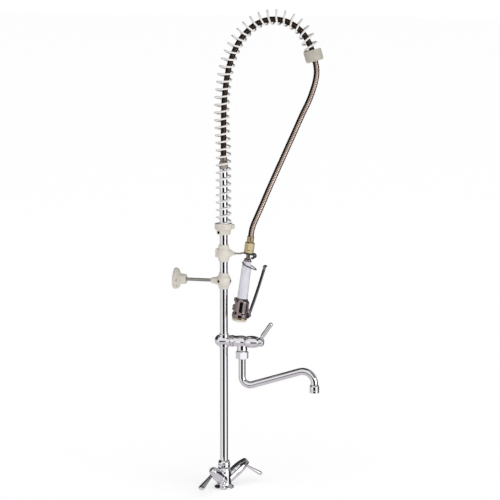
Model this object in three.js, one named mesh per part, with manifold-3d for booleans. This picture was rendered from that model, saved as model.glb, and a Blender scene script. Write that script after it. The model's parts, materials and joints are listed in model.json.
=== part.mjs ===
// Deck-mounted pre-rinse faucet: a two-lever mixer base, a riser with a swinging add-on spout,
// a wall bracket, and a hose held in a spring arch that carries a squeeze-lever spray gun.
//
// Millimetres. +Z is up along the riser, the origin is the centre of the base on the deck,
// the user stands on the -Y side and the wall is on the +Y side.

import * as THREE from 'three';
import { mergeVertices } from 'three/addons/utils/BufferGeometryUtils.js';
import Module from 'manifold-3d';

const wasm = await Module();
wasm.setup();

// ---------------------------------------------------------------- driving dimensions

const GAP = 0.3;                 // space left between two pieces that meet
const ROUND = 16;                // sides of a turned piece
const WIDE = 20;                 // sides of the widest ones
const SMALL = 10;                // sides of a screw, pin or small hole

const RISER_R = 10;              // riser tube, outside
const RISER_BORE_R = 8.5;
const SOCKET_R = RISER_R + GAP;  // any hole the riser passes through

const FLANGE_R = 25;             // mixer base
const FLANGE_T = 4;
const BASE_R = 18;
const BASE_TOP_Z = 52;
const RISER_NUT_TOP_Z = 70;
const RISER_NUT_R = 15.5;

const ARM_TILT = 33;             // valve arms rise this many degrees outward
const ARM_START_Z = 15.2;        // where an arm's axis leaves the riser axis
const ARM_R = 14.5;
const ARM_LENGTH = 38.2;
const HOT_BEARING = 171;         // degrees from +X, seen from above
const COLD_BEARING = -41;
const HUB_START = 38.6;          // lever hub, along the arm's axis
const HUB_END = 82;
const BLADE_SPLAY = 25;          // the blade leans outward from square to its axis
const BLADE_LENGTH = 52;
const BLADE_FLATNESS = 0.68;      // a blade's thickness for each unit of its width
const HOT_REST_TURN = -13;        // the hot lever stands turned back, away from the front

const VALVE_Z = 377.5;           // axis of the add-on spout valve
const OUTLET_Y = -47.2;          // vertical axis about which the spout swings
const SPOUT_R = 9;
const SPOUT_BORE_R = 7.6;
const SPOUT_TOP_Z = 356;
const SPOUT_BEND_R = 20;
const SPOUT_LOW_Z = 267.6;
const SPOUT_SLOPE = 18;          // the arm climbs this many degrees
const GOOSENECK_R = 29;
const NOZZLE_Y = -233.2;
const NOZZLE_TOP_Z = 276.6;
const NOZZLE_BOTTOM_Z = 257.1;

const WALL_TEE_Z = 528.7;        // wall bracket
const WALL_TEE_HEIGHT = 41;
const WALL_ROD_R = 4;
const WALL_Y = 128;              // the wall's face
const WALL_DISC_R = 28;
const SIDE_SCREW_BEARING = 149;   // clamp screws in the side of the wall tee and the lower collar

const HOOK_Z = 598.4;            // tee that carries the gun's hook
const HOOK_TEE_HEIGHT = 43;
const HOOK_WIRE_R = 2.2;

const COLLAR_HUB_Z = 645.3;      // lower spring collar
const COLLAR_FLANGE_Z = 657.7;
const COLLAR_TOP_Z = 673;
const COLLAR_CUP_Z = 664.5;

const RISER_TOP_Z = 809;
const HOSE_NUT_TOP_Z = 827;
const HOSE_START_Z = 842.3;
const HOSE_R = 7.25;

const SPRING_R = 17.3;           // to the centre of the wire
const SPRING_WIRE_R = 2.3;
const SPRING_PITCH = 18.5;
const SPRING_STEPS = 8;          // stations in each turn
const SPRING_SHIFT = 5.6;        // how far the coil hangs outward of the hose on the arch

const GUN_Y = -63.5;             // where the gun's axis passes through the hook
const GUN_Z = 597;
const GUN_TILT = 8;

// The hose route in the Y-Z plane, from the riser's top to the gun: [forward of the riser, height].
const HOSE_ROUTE = [
  [0, 842.3], [0, 875], [0.2, 912], [0.9, 950], [3, 986], [7, 1021], [13.8, 1057], [24.4, 1090],
  [39.8, 1121], [60.6, 1147], [86, 1166.5], [114.5, 1176.2], [144, 1176], [172, 1167],
  [195, 1150.5], [211.5, 1129], [221.7, 1107.5], [228.2, 1087.5], [233.2, 1069], [235, 1054],
  [233.8, 1038], [228, 1014], [215.5, 980], [200, 948], [177, 897], [154, 846.5], [131, 796],
  [112.5, 754.5], [96.8, 718], [83.8, 689], [76.4, 672], [71.9, 656.8], [69.94, 642.85],
];

// ---------------------------------------------------------------- materials

function finish(color, roughness, metalness) {
  return new THREE.MeshStandardMaterial({ color, roughness, metalness });
}

const chrome = finish(0xe6e6ea, 0.08, 1);
const steel = finish(0xb9b9bb, 0.3, 1);
const brass = finish(0xb89a55, 0.35, 1);
const nickel = finish(0x8c8172, 0.25, 1);
const darkNickel = finish(0x4a423e, 0.25, 1);
const hoseBraid = finish(0x7a6553, 0.35, 1);
const creamPlastic = finish(0xe4ded2, 0.45, 0);
const springCoat = finish(0xf2f1ee, 0.4, 0);
const gripPlastic = finish(0xe2e0ea, 0.4, 0);
const rubber = finish(0x2a2a2a, 0.8, 0);
const paleRubber = finish(0xd9d2c6, 0.6, 0);

// ---------------------------------------------------------------- solids

const rad = THREE.MathUtils.degToRad;

// A closed three.js geometry as a manifold-3d solid, with its faces pointing outward.
function toSolid(geometry) {
  const bare = geometry.clone();
  for (const name of Object.keys(bare.attributes)) {
    if (name !== 'position') bare.deleteAttribute(name);
  }
  const merged = mergeVertices(bare, 1e-4);
  const at = merged.attributes.position.array;
  const corners = merged.index.array;
  const kept = [];
  let volume = 0;
  const a = new THREE.Vector3();
  const b = new THREE.Vector3();
  const c = new THREE.Vector3();
  for (let i = 0; i < corners.length; i += 3) {
    const [p, q, r] = [corners[i], corners[i + 1], corners[i + 2]];
    if (p === q || q === r || r === p) continue;
    kept.push(p, q, r);
    a.fromArray(at, 3 * p);
    b.fromArray(at, 3 * q);
    c.fromArray(at, 3 * r);
    volume += a.dot(b.cross(c));
  }
  if (volume < 0) kept.reverse();
  return new wasm.Manifold(new wasm.Mesh({
    numProp: 3,
    vertProperties: new Float32Array(at),
    triVerts: new Uint32Array(kept),
  }));
}

function join(...geometries) {
  return geometries.map(toSolid).reduce((whole, piece) => whole.add(piece));
}

// The first solid with the others taken out of it.
function cut(solid, ...geometries) {
  const start = solid.isBufferGeometry ? toSolid(solid) : solid;
  return geometries.map(toSolid).reduce((whole, piece) => whole.subtract(piece), start);
}

function toGeometry(solid) {
  const { vertProperties, triVerts } = solid.getMesh();
  const geometry = new THREE.BufferGeometry();
  geometry.setAttribute('position', new THREE.BufferAttribute(new Float32Array(vertProperties), 3));
  geometry.setIndex(new THREE.BufferAttribute(new Uint32Array(triVerts), 1));
  geometry.computeVertexNormals();
  return geometry;
}

function part(name, shape, material) {
  const solid = shape.isBufferGeometry ? toSolid(shape) : shape;
  const mesh = new THREE.Mesh(toGeometry(solid), material);
  mesh.name = name;
  return mesh;
}

// A solid of revolution about Z. Each profile point is [radius, z].
function lathe(profile, sides = ROUND) {
  const points = profile.map(([r, z]) => new THREE.Vector2(r, z));
  return new THREE.LatheGeometry(points, sides).rotateX(Math.PI / 2);
}

// A ring or tube about Z: the profile closes on itself away from the axis.
function ring(inner, outer, low, high, sides = ROUND) {
  return lathe([[inner, low], [outer, low], [outer, high], [inner, high], [inner, low]], sides);
}

// A turned solid between two heights, with small bevels on its rims.
function disc(radius, low, high, bevel = 0, sides = ROUND) {
  const rim = bevel > 0
    ? [[radius - bevel, low], [radius, low + bevel], [radius, high - bevel], [radius - bevel, high]]
    : [[radius, low], [radius, high]];
  return lathe([[0, low], ...rim, [0, high]], sides);
}

// A plain hexagonal bar about Z, for key sockets.
function hexBar(cornerRadius, low, high) {
  const hexagon = new THREE.CylinderGeometry(cornerRadius, cornerRadius, high - low, 6);
  return hexagon.rotateX(Math.PI / 2).translate(0, 0, (low + high) / 2);
}

// A nut's outside: a hexagon with its corners turned off at both ends.
function hexPrism(cornerRadius, low, high, bevel = 1) {
  return toSolid(hexBar(cornerRadius, low, high)).intersect(toSolid(disc(cornerRadius, low, high, bevel)));
}

function box(sizeX, sizeY, sizeZ, x, y, z) {
  return new THREE.BoxGeometry(sizeX, sizeY, sizeZ).translate(x, y, z);
}

// Turns a piece made along +Z so that it points along -Y (forward) from a point.
function forward(geometry, y, z) {
  return geometry.rotateX(Math.PI / 2).translate(0, y, z);
}

// Turns a piece made along +Z so that it points outward at a bearing, level.
function radial(geometry, bearing, z, x = 0, y = 0) {
  return geometry.rotateY(Math.PI / 2).rotateZ(rad(bearing)).translate(x, y, z);
}

function arcPoints(centreR, centreZ, radius, from, to, steps) {
  const points = [];
  for (let i = 0; i <= steps; i += 1) {
    const angle = rad(from + (to - from) * i / steps);
    points.push([centreR + radius * Math.cos(angle), centreZ + radius * Math.sin(angle)]);
  }
  return points;
}

// A path whose stations are exactly the points it is given, however far apart they are.
class StationPath extends THREE.Curve {
  constructor(stations) {
    super();
    this.stations = stations;
  }

  getPoint(t, target = new THREE.Vector3()) {
    const place = Math.min(Math.max(t, 0), 1) * (this.stations.length - 1);
    const index = Math.min(Math.floor(place), this.stations.length - 2);
    return target.lerpVectors(this.stations[index], this.stations[index + 1], place - index);
  }

  getUtoTmapping(u) {
    return u;
  }
}

function circleShape(radius, sides, boreRadius = 0) {
  const corner = (r, i) => {
    const angle = 2 * Math.PI * i / sides;
    return new THREE.Vector2(r * Math.cos(angle), r * Math.sin(angle));
  };
  const outline = Array.from({ length: sides }, (_, i) => corner(radius, i));
  const shape = new THREE.Shape(outline);
  if (boreRadius > 0) {
    const bore = Array.from({ length: sides }, (_, i) => corner(boreRadius, sides - i));
    shape.holes.push(new THREE.Path(bore));
  }
  return shape;
}

function tube(stations, radius, sides, boreRadius = 0) {
  return new THREE.ExtrudeGeometry(circleShape(radius, sides, boreRadius), {
    steps: stations.length - 1,
    extrudePath: new StationPath(stations),
    curveSegments: 1,
  });
}

// Points of the Y-Z plane given as [forward, height].
function sidePoint([ahead, height], x = 0) {
  return new THREE.Vector3(x, -ahead, height);
}

// ---------------------------------------------------------------- mixer base

// A frame whose Z runs out along a valve arm and whose X points down square to it.
function armFrame(bearing) {
  const turn = rad(bearing);
  const rise = rad(ARM_TILT);
  const out = new THREE.Vector3(Math.cos(turn), Math.sin(turn), 0);
  const up = new THREE.Vector3(0, 0, 1);
  const axis = out.clone().multiplyScalar(Math.cos(rise)).addScaledVector(up, Math.sin(rise));
  const down = out.clone().multiplyScalar(Math.sin(rise)).addScaledVector(up, -Math.cos(rise));
  const side = axis.clone().cross(down);
  return new THREE.Matrix4().makeBasis(down, side, axis).setPosition(0, 0, ARM_START_Z);
}

function baseBody() {
  const profile = [
    [0, 0], [FLANGE_R, 0], [FLANGE_R, FLANGE_T - 1],
    ...arcPoints(FLANGE_R - 2.5, FLANGE_T - 1, 2.5, 20, 80, 3),
    [BASE_R + 1.5, FLANGE_T + 3], [BASE_R, FLANGE_T + 7], [BASE_R, 40], [BASE_R - 1, 46],
    [RISER_NUT_R, BASE_TOP_Z], [0, BASE_TOP_Z],
  ];
  let body = toSolid(lathe(profile, WIDE));
  for (const bearing of [HOT_BEARING, COLD_BEARING]) {
    body = body.add(toSolid(disc(ARM_R, 0, ARM_LENGTH, 0.8).applyMatrix4(armFrame(bearing))));
  }
  const mixingChamber = disc(7, 24, BASE_TOP_Z - 10);
  const riserSocket = disc(SOCKET_R, BASE_TOP_Z - 14, BASE_TOP_Z + 1);
  const sealSeat = disc(13.1, BASE_TOP_Z - 2.8, BASE_TOP_Z + 1);
  const gasketGroove = ring(20, 23.6, -1, 1.5, WIDE);
  body = cut(body, mixingChamber, riserSocket, sealSeat, gasketGroove);
  for (const bearing of [HOT_BEARING, COLD_BEARING]) {
    const valveBore = disc(11.3, 12, ARM_LENGTH + 1).applyMatrix4(armFrame(bearing));
    const inlet = disc(4.2, -1, 18, 0, SMALL).translate(13.4, 0, 0).rotateZ(rad(bearing));
    body = cut(body, valveBore, inlet);
  }
  const studBearing = (HOT_BEARING + COLD_BEARING) / 2;
  const studHole = disc(3, -1, 11, 0, SMALL).translate(14, 0, 0).rotateZ(rad(studBearing));
  return cut(body, studHole);
}

function leverHubAndBlade() {
  const hubProfile = [
    [0, HUB_START], [ARM_R, HUB_START], [ARM_R + 0.3, HUB_START + 6], [ARM_R - 0.2, 56], [13.2, 66],
    [11.2, 75.5], [9.2, 81.2], [7.8, HUB_END], [0, HUB_END],
  ];
  const lean = rad(BLADE_SPLAY);
  // The blade widens to its rounded tip. It starts inside the hub and leans outward of the square.
  const blade = lathe([
    [0, -2], [4.2, -2], [4.8, 14], [6.3, 34], [7.9, BLADE_LENGTH - 5], [7.9, BLADE_LENGTH],
    [6.4, BLADE_LENGTH + 2], [0, BLADE_LENGTH + 2],
  ]);
  blade.rotateY(Math.PI / 2).scale(1, 1, BLADE_FLATNESS).rotateY(-lean).translate(8.5, 0, 73);
  const underside = lathe([
    [0, HUB_START - 1], [12.4, HUB_START - 1], [12, 55], [4.4, 56], [4.4, 66.3], [0, 66.3],
  ]);
  const screwHole = disc(2.9, 60, 80, 0, SMALL);
  const capSeat = disc(6.3, 73.8, HUB_END + 1);
  return cut(join(lathe(hubProfile), blade), underside, screwHole, capSeat);
}

function valveArm(side, bearing, restTurn) {
  const arm = new THREE.Group();
  arm.applyMatrix4(armFrame(bearing));
  const cartridge = cut(disc(9.4, 13, 30), disc(4.5, 24.5, 31, 0, SMALL));
  const bonnetOuter = lathe([
    [0, 30.3], [10.9, 30.3], [10.9, 38.4], [9.3, 38.4], [9.3, 49], [8.5, 50], [0, 50],
  ]);
  const bonnet = cut(bonnetOuter, disc(4.5, 29, 51, 0, SMALL));
  const spindle = cut(disc(4.1, 25, 66, 0, SMALL), disc(2.9, 58, 67, 0, SMALL));
  const screwShape = join(disc(2.5, 59.5, 75, 0, SMALL), disc(4.6, 74.2, 77, 0, SMALL));
  const screw = cut(screwShape, hexBar(2.2, 75.4, 78));
  const cap = lathe([[0, 77.8], [5.9, 77.8], [5.9, 81.8], [4.6, 83], [2.4, 83.7], [0, 83.9]]);
  arm.add(part(`${side}_cartridge`, cartridge, brass));
  arm.add(part(`${side}_bonnet`, bonnet, brass));
  arm.add(part(`${side}_spindle`, spindle, brass));
  arm.add(part(`${side}_lever`, leverHubAndBlade().rotate([0, 0, restTurn]), chrome));
  arm.add(part(`${side}_lever_screw`, screw, steel));
  arm.add(part(`${side}_index_cap`, cap, chrome));
  return arm;
}

function mixerBase() {
  const base = new THREE.Group();
  base.add(part('base_body', baseBody(), chrome));
  base.add(part('base_gasket', ring(20.3, 23.3, 0, 1.2, WIDE), rubber));
  base.add(part('riser_oring', ring(SOCKET_R + 0.1, 12.8, BASE_TOP_Z - 2.5, BASE_TOP_Z), rubber));
  const nutProfile = [
    [SOCKET_R, BASE_TOP_Z + GAP], [RISER_NUT_R - 0.6, BASE_TOP_Z + GAP], [RISER_NUT_R, BASE_TOP_Z + 1],
    [RISER_NUT_R, 62], [RISER_NUT_R - 0.9, 67.5], [RISER_NUT_R - 2.2, RISER_NUT_TOP_Z],
    [SOCKET_R + 0.6, RISER_NUT_TOP_Z], [SOCKET_R, RISER_NUT_TOP_Z - 0.8], [SOCKET_R, BASE_TOP_Z + GAP],
  ];
  base.add(part('riser_nut', lathe(nutProfile), chrome));
  base.add(valveArm('hot', HOT_BEARING, HOT_REST_TURN));
  base.add(valveArm('cold', COLD_BEARING, 0));
  return base;
}

// ---------------------------------------------------------------- riser

function riser() {
  const group = new THREE.Group();
  const lowerTop = VALVE_Z - 11.5;
  const upperLow = VALVE_Z + 11.5;
  group.add(part('lower_riser', ring(RISER_BORE_R, RISER_R, BASE_TOP_Z - 13.5, lowerTop), chrome));
  group.add(part('upper_riser', ring(RISER_BORE_R, RISER_R, upperLow, RISER_TOP_Z), chrome));
  return group;
}

// ---------------------------------------------------------------- spout valve

// Profiles here are [radius, distance forward of the riser axis].
function spoutTee() {
  const profile = [
    [0, -23.4], [6, -22.4], [11, -19.2], [14.4, -13.6], [15.2, -7], [12.9, 4], [12.4, 8], [14.2, 17.5],
    [14.2, 19], [0, 19],
  ];
  const ball = forward(lathe(profile), 0, VALVE_Z);
  const collars = disc(11.7, VALVE_Z - 17.5, VALVE_Z + 17.5, 0.6);
  const lowerSocket = disc(SOCKET_R, VALVE_Z - 18.5, VALVE_Z - 11.2);
  const upperSocket = disc(SOCKET_R, VALVE_Z + 11.2, VALVE_Z + 18.5);
  const waterway = disc(7.5, VALVE_Z - 14, VALVE_Z + 14);
  const branch = forward(disc(6.8, 0, 20), 0, VALVE_Z);
  const spigotSeat = forward(disc(9.3, 12.7, 20), 0, VALVE_Z);
  return cut(join(ball, collars), lowerSocket, upperSocket, waterway, branch, spigotSeat);
}

function spoutValveBody() {
  const profile = [
    [0, 13], [9, 13], [9, 26.3], [12.6, 26.3], [13.4, 27.4], [13.4, 34], [14.3, 41], [14.6, 47.2],
    [14.1, 53], [12.8, 56], [0, 56],
  ];
  const barrel = forward(lathe(profile), 0, VALVE_Z);
  const neck = lathe([
    [0, 345], [11.6, 345], [11.6, 353.6], [12.9, 354.4], [13.3, 358], [13.1, 364],
    [13.4, VALVE_Z], [0, VALVE_Z],
  ]).translate(0, OUTLET_Y, 0);
  const inlet = forward(disc(6.5, 12, 40), 0, VALVE_Z);
  const chamber = forward(disc(10.4, 39, 57), 0, VALVE_Z);
  const outlet = disc(SPOUT_R + GAP, 344, VALVE_Z - 4).translate(0, OUTLET_Y, 0);
  const setScrewHole = radial(disc(1.9, 9.8, 15, 0, SMALL), -90, 361, 0, OUTLET_Y);
  const bonnetSpace = forward(disc(16, 56, 64), 0, VALVE_Z);
  return cut(join(barrel, neck), bonnetSpace, inlet, chamber, outlet, setScrewHole);
}

function spoutBonnet() {
  const profile = [
    [9.9, 50], [9.9, 56.4], [12.6, 56.4], [14.6, 65], [15.1, 73], [13.6, 85], [11.2, 90.4], [4.6, 90.4],
    [4.6, 80], [8.3, 80], [8.3, 50], [9.9, 50],
  ];
  return forward(lathe(profile), 0, VALVE_Z);
}

function spoutLeverHub() {
  const profile = [
    [0, 90.8], [11, 90.8], [11, 97], [10.3, 100.4], [8, 102.8], [0, 102.8],
  ];
  const hub = forward(lathe(profile), 0, VALVE_Z);
  const spindleSeat = forward(disc(4.4, 90, 97.6, 0, SMALL), 0, VALVE_Z);
  const screwSeat = forward(disc(4.3, 99.4, 104, 0, SMALL), 0, VALVE_Z);
  const screwHole = forward(disc(2.4, 95, 101, 0, SMALL), 0, VALVE_Z);
  const rodHole = disc(3.7, 4.2, 14, 0, SMALL).applyMatrix4(spoutRodFrame());
  return cut(hub, spindleSeat, screwSeat, screwHole, rodHole);
}

// The lever rod rises forward out of the hub; its frame's Z runs along the rod.
function spoutRodFrame() {
  const slope = rad(90 - 54.8);
  const frame = new THREE.Matrix4().makeRotationX(slope);
  return frame.setPosition(0, -91.9, VALVE_Z + 4);
}

function spoutLeverRod() {
  const profile = [
    [0, 4.6], [3.4, 4.6], [3.4, 10.5], [5.2, 12.4], [5.6, 16], [5.6, 50],
    ...arcPoints(0, 50.5, 5.6, 24, 66, 2), [0, 56.1],
  ];
  return lathe(profile, 12).applyMatrix4(spoutRodFrame());
}

function spoutNut() {
  const outer = hexPrism(16.6, 334, 352, 1.6);
  const thread = disc(12, 341.5, 353);
  const throat = disc(SPOUT_R + GAP, 333, 345);
  return cut(outer, thread, throat).translate([0, OUTLET_Y, 0]);
}

// The tube's centreline: down, round the low bend, up the arm, over the gooseneck and down.
function spoutStations() {
  const turnSteps = 6;
  const slope = rad(SPOUT_SLOPE);
  const start = -OUTLET_Y;
  const lowCentre = [start + SPOUT_BEND_R, SPOUT_LOW_Z + SPOUT_BEND_R];
  const points = [[start, SPOUT_TOP_Z], [start, 340], [start, 310]];
  for (let i = 0; i <= turnSteps; i += 1) {
    const angle = Math.PI + (Math.PI / 2 + slope) * i / turnSteps;
    points.push([
      lowCentre[0] + SPOUT_BEND_R * Math.cos(angle),
      lowCentre[1] + SPOUT_BEND_R * Math.sin(angle),
    ]);
  }
  const [armStart, armLow] = points[points.length - 1];
  const highCentreAhead = -NOZZLE_Y - GOOSENECK_R;
  const armEnd = highCentreAhead - GOOSENECK_R * Math.sin(slope);
  const armHigh = armLow + (armEnd - armStart) * Math.tan(slope);
  points.push([(armStart + armEnd) / 2, (armLow + armHigh) / 2]);
  const highCentreZ = armHigh - GOOSENECK_R * Math.cos(slope);
  for (let i = 0; i <= turnSteps; i += 1) {
    const angle = Math.PI / 2 + slope - (Math.PI / 2 + slope) * i / turnSteps;
    points.push([
      highCentreAhead + GOOSENECK_R * Math.cos(angle),
      highCentreZ + GOOSENECK_R * Math.sin(angle),
    ]);
  }
  points.push([-NOZZLE_Y, NOZZLE_TOP_Z - 6]);
  return points.map((p) => sidePoint(p));
}

function aeratorHousing() {
  const outer = lathe([
    [0, NOZZLE_BOTTOM_Z], [11, NOZZLE_BOTTOM_Z], [12, NOZZLE_BOTTOM_Z + 1.2], [12, NOZZLE_TOP_Z - 3],
    [11.2, NOZZLE_TOP_Z - 0.8], [10.2, NOZZLE_TOP_Z], [0, NOZZLE_TOP_Z],
  ]);
  const tubeSeat = disc(SPOUT_R + GAP, NOZZLE_TOP_Z - 6.4, NOZZLE_TOP_Z + 1);
  const throat = disc(7.5, NOZZLE_BOTTOM_Z - 1, NOZZLE_TOP_Z - 4);
  const insertSeat = disc(10.2, NOZZLE_BOTTOM_Z - 1, NOZZLE_BOTTOM_Z + 8.6);
  return cut(outer, tubeSeat, throat, insertSeat).translate([0, NOZZLE_Y, 0]);
}

function aeratorInsert() {
  const holes = [disc(1.5, 250, 270, 0, 6)];
  for (let i = 0; i < 6; i += 1) {
    holes.push(disc(1.5, 250, 270, 0, 6).translate(5.6, 0, 0).rotateZ(2 * Math.PI * i / 6));
  }
  const insert = disc(9.9, NOZZLE_BOTTOM_Z + 0.8, NOZZLE_BOTTOM_Z + 8.3, 0.5);
  return cut(insert, ...holes).translate([0, NOZZLE_Y, 0]);
}

function spoutAssembly() {
  const group = new THREE.Group();
  group.add(part('spout_tee', spoutTee(), chrome));
  const unionNut = [[9.4, 19.3], [13.6, 19.3], [14.7, 20.4], [14.7, 25], [13.8, 26], [9.4, 26], [9.4, 19.3]];
  group.add(part('tee_union_nut', forward(lathe(unionNut), 0, VALVE_Z), chrome));
  group.add(part('spout_valve_body', spoutValveBody(), chrome));
  const cartridge = cut(disc(8, 41, 78), disc(4.5, 66, 79, 0, SMALL));
  group.add(part('spout_cartridge', cartridge.rotate([90, 0, 0]).translate([0, 0, VALVE_Z]), brass));
  const spindle = cut(disc(4.1, 66.4, 97.2, 0, SMALL), disc(2.4, 91, 98, 0, SMALL));
  group.add(part('spout_spindle', spindle.rotate([90, 0, 0]).translate([0, 0, VALVE_Z]), brass));
  group.add(part('spout_bonnet', spoutBonnet(), chrome));
  group.add(part('spout_lever_hub', spoutLeverHub(), chrome));
  group.add(part('spout_lever_rod', spoutLeverRod(), chrome));
  const screw = join(disc(2, 91.6, 101, 0, SMALL), disc(3.9, 99.8, 102.4, 0.5, SMALL));
  group.add(part('spout_lever_screw', screw.rotate([90, 0, 0]).translate([0, 0, VALVE_Z]), steel));
  group.add(part('spout_nut', spoutNut(), chrome));
  const collar = ring(SPOUT_R - 0.6, 11.6, 341.8, 344.6).translate(0, OUTLET_Y, 0);
  group.add(part('spout_tube', join(tube(spoutStations(), SPOUT_R, 14, SPOUT_BORE_R), collar), chrome));
  group.add(part('aerator_housing', aeratorHousing(), chrome));
  group.add(part('aerator_insert', aeratorInsert(), steel));
  return group;
}

// ---------------------------------------------------------------- brackets on the riser

function grubScrew(length) {
  return cut(disc(2.6, 0, length, 0, SMALL), hexBar(1.5, length - 2.2, length + 1));
}

function wallTee() {
  const half = WALL_TEE_HEIGHT / 2;
  const profile = [
    [0, -half], [12, -half], [12.6, -half + 3], [15.4, -12], [18.2, -5], [18.2, 5], [15.4, 12],
    [12.6, half - 3], [12, half], [0, half],
  ];
  const ball = lathe(profile).translate(0, 0, WALL_TEE_Z);
  const boss = lathe([
    [0, 0], [10.6, 0], [10.6, 17.5], [8.6, 20.5], [8.6, 26], [7.4, 27], [7.2, 32.2], [0, 32.2],
  ]).rotateX(-Math.PI / 2).translate(0, 0, WALL_TEE_Z);
  const riserHole = disc(SOCKET_R, WALL_TEE_Z - half - 1, WALL_TEE_Z + half + 1);
  const rodHole = disc(WALL_ROD_R + GAP, 9, 33).rotateX(-Math.PI / 2).translate(0, 0, WALL_TEE_Z);
  const riserScrewHole = radial(disc(2.9, 9.5, 20, 0, SMALL), -90, WALL_TEE_Z);
  const sideScrewHole = radial(disc(2.9, 9.5, 20, 0, SMALL), SIDE_SCREW_BEARING, WALL_TEE_Z);
  return cut(join(ball, boss), riserHole, rodHole, riserScrewHole, sideScrewHole);
}

// A shallow bell with a three-lobed outline, a blind socket for the rod and two screw holes.
function wallFlange() {
  const lobes = 3;
  const outline = new THREE.Shape();
  const corners = 24;
  for (let i = 0; i < corners; i += 1) {
    const angle = 2 * Math.PI * i / corners;
    const radius = WALL_DISC_R - 1.4 + 1.4 * Math.cos(lobes * angle);
    const [x, y] = [radius * Math.sin(angle), radius * Math.cos(angle)];
    if (i === 0) outline.moveTo(x, y);
    else outline.lineTo(x, y);
  }
  outline.closePath();
  const plate = new THREE.ExtrudeGeometry(outline, {
    depth: 5.4,
    bevelEnabled: true,
    bevelThickness: 2.6,
    bevelSize: 2.4,
    bevelOffset: -2.4,
    bevelSegments: 2,
  }).translate(0, 0, 2.6);
  const squareBack = disc(WALL_DISC_R - 3.4, 0, 3);
  const hub = lathe([
    [0, 3], [19, 10], [14.4, 13.4], [12.8, 18], [12.2, 30.8], [0, 30.8],
  ]);
  const socket = disc(WALL_ROD_R + GAP, 9.7, 32);
  let flange = cut(join(plate, squareBack, hub), socket);
  for (const side of [-1, 1]) {
    flange = cut(flange, disc(2.5, -1, 13, 0, SMALL).translate(21.6 * side, 0, 0));
  }
  return flange.rotate([90, 0, 0]).translate([0, WALL_Y, WALL_TEE_Z]);
}

function hookTee() {
  const half = HOOK_TEE_HEIGHT / 2;
  const profile = [
    [0, -half], [12, -half], [13, -half + 4], [16.2, -8], [16.9, 2], [16.2, 8], [13.8, 11],
    [12.8, half - 3], [12, half], [0, half],
  ];
  const body = lathe(profile).translate(0, 0, HOOK_Z);
  const lug = box(17, 14, 21, 0, 13, HOOK_Z);
  const arm = forward(lathe([
    [0, 0], [9.6, 0], [9.2, 17.6], [6.4, 22.4], [4.9, 22.9], [4.1, 28.8], [0, 28.8],
  ]), 0, HOOK_Z);
  const riserHole = disc(SOCKET_R, HOOK_Z - half - 1, HOOK_Z + half + 1);
  const wireHole = forward(disc(HOOK_WIRE_R + GAP, 13.7, 30, 0, SMALL), 0, HOOK_Z);
  const screwHole = radial(disc(2.9, 9.5, 22, 0, SMALL), 90, HOOK_Z);
  return cut(join(body, lug, arm), riserHole, wireHole, screwHole);
}

// The gun's own frame: Z runs up the handle and -Y faces the user.
function gunFrame() {
  return new THREE.Matrix4().makeRotationX(rad(GUN_TILT)).setPosition(0, GUN_Y, GUN_Z);
}

// The hook wire ends in a two-pronged fork, square to the handle, with its tips curled down.
function hookFork() {
  const level = 2.9;
  const spread = 8.3;
  const curlR = 4.6;
  const curl = (side) => Array.from({ length: 7 }, (_, i) => {
    const angle = rad(230 * i / 6);
    const y = -13 - curlR * Math.sin(angle);
    return new THREE.Vector3(side * spread, y, level - curlR + curlR * Math.cos(angle));
  });
  const bend = Array.from({ length: 9 }, (_, i) => {
    const angle = Math.PI * i / 8;
    return new THREE.Vector3(-spread * Math.cos(angle), 2 + spread * Math.sin(angle), level);
  });
  const fork = tube([...curl(-1).reverse(), ...bend, ...curl(1)], HOOK_WIRE_R, 6).applyMatrix4(gunFrame());
  const stem = [[14, HOOK_Z], [38, HOOK_Z], [43, HOOK_Z + 0.5], [48, HOOK_Z + 1.6]].map((p) => sidePoint(p));
  stem.push(new THREE.Vector3(0, 2 + spread, level).applyMatrix4(gunFrame()));
  return join(tube(stem, HOOK_WIRE_R, 6), fork);
}

function lowerCollar() {
  const profile = [
    [SOCKET_R, COLLAR_HUB_Z], [16.9, COLLAR_HUB_Z], [17.6, COLLAR_HUB_Z + 0.8], [17.6, COLLAR_FLANGE_Z - 1],
    [18.6, COLLAR_FLANGE_Z], [21.8, COLLAR_FLANGE_Z], [22.4, COLLAR_FLANGE_Z + 0.8],
    [22.4, COLLAR_TOP_Z - 0.8], [21.9, COLLAR_TOP_Z], [20.5, COLLAR_TOP_Z], [20.5, COLLAR_CUP_Z], [SOCKET_R, COLLAR_CUP_Z],
    [SOCKET_R, COLLAR_HUB_Z],
  ];
  const lug = box(11, 6.5, 11, 0, -24, (COLLAR_FLANGE_Z + COLLAR_TOP_Z) / 2);
  const screwHole = radial(disc(2.9, 9.5, 20, 0, SMALL), SIDE_SCREW_BEARING, COLLAR_HUB_Z + 6.2);
  return cut(join(lathe(profile, WIDE), lug), screwHole);
}

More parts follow.
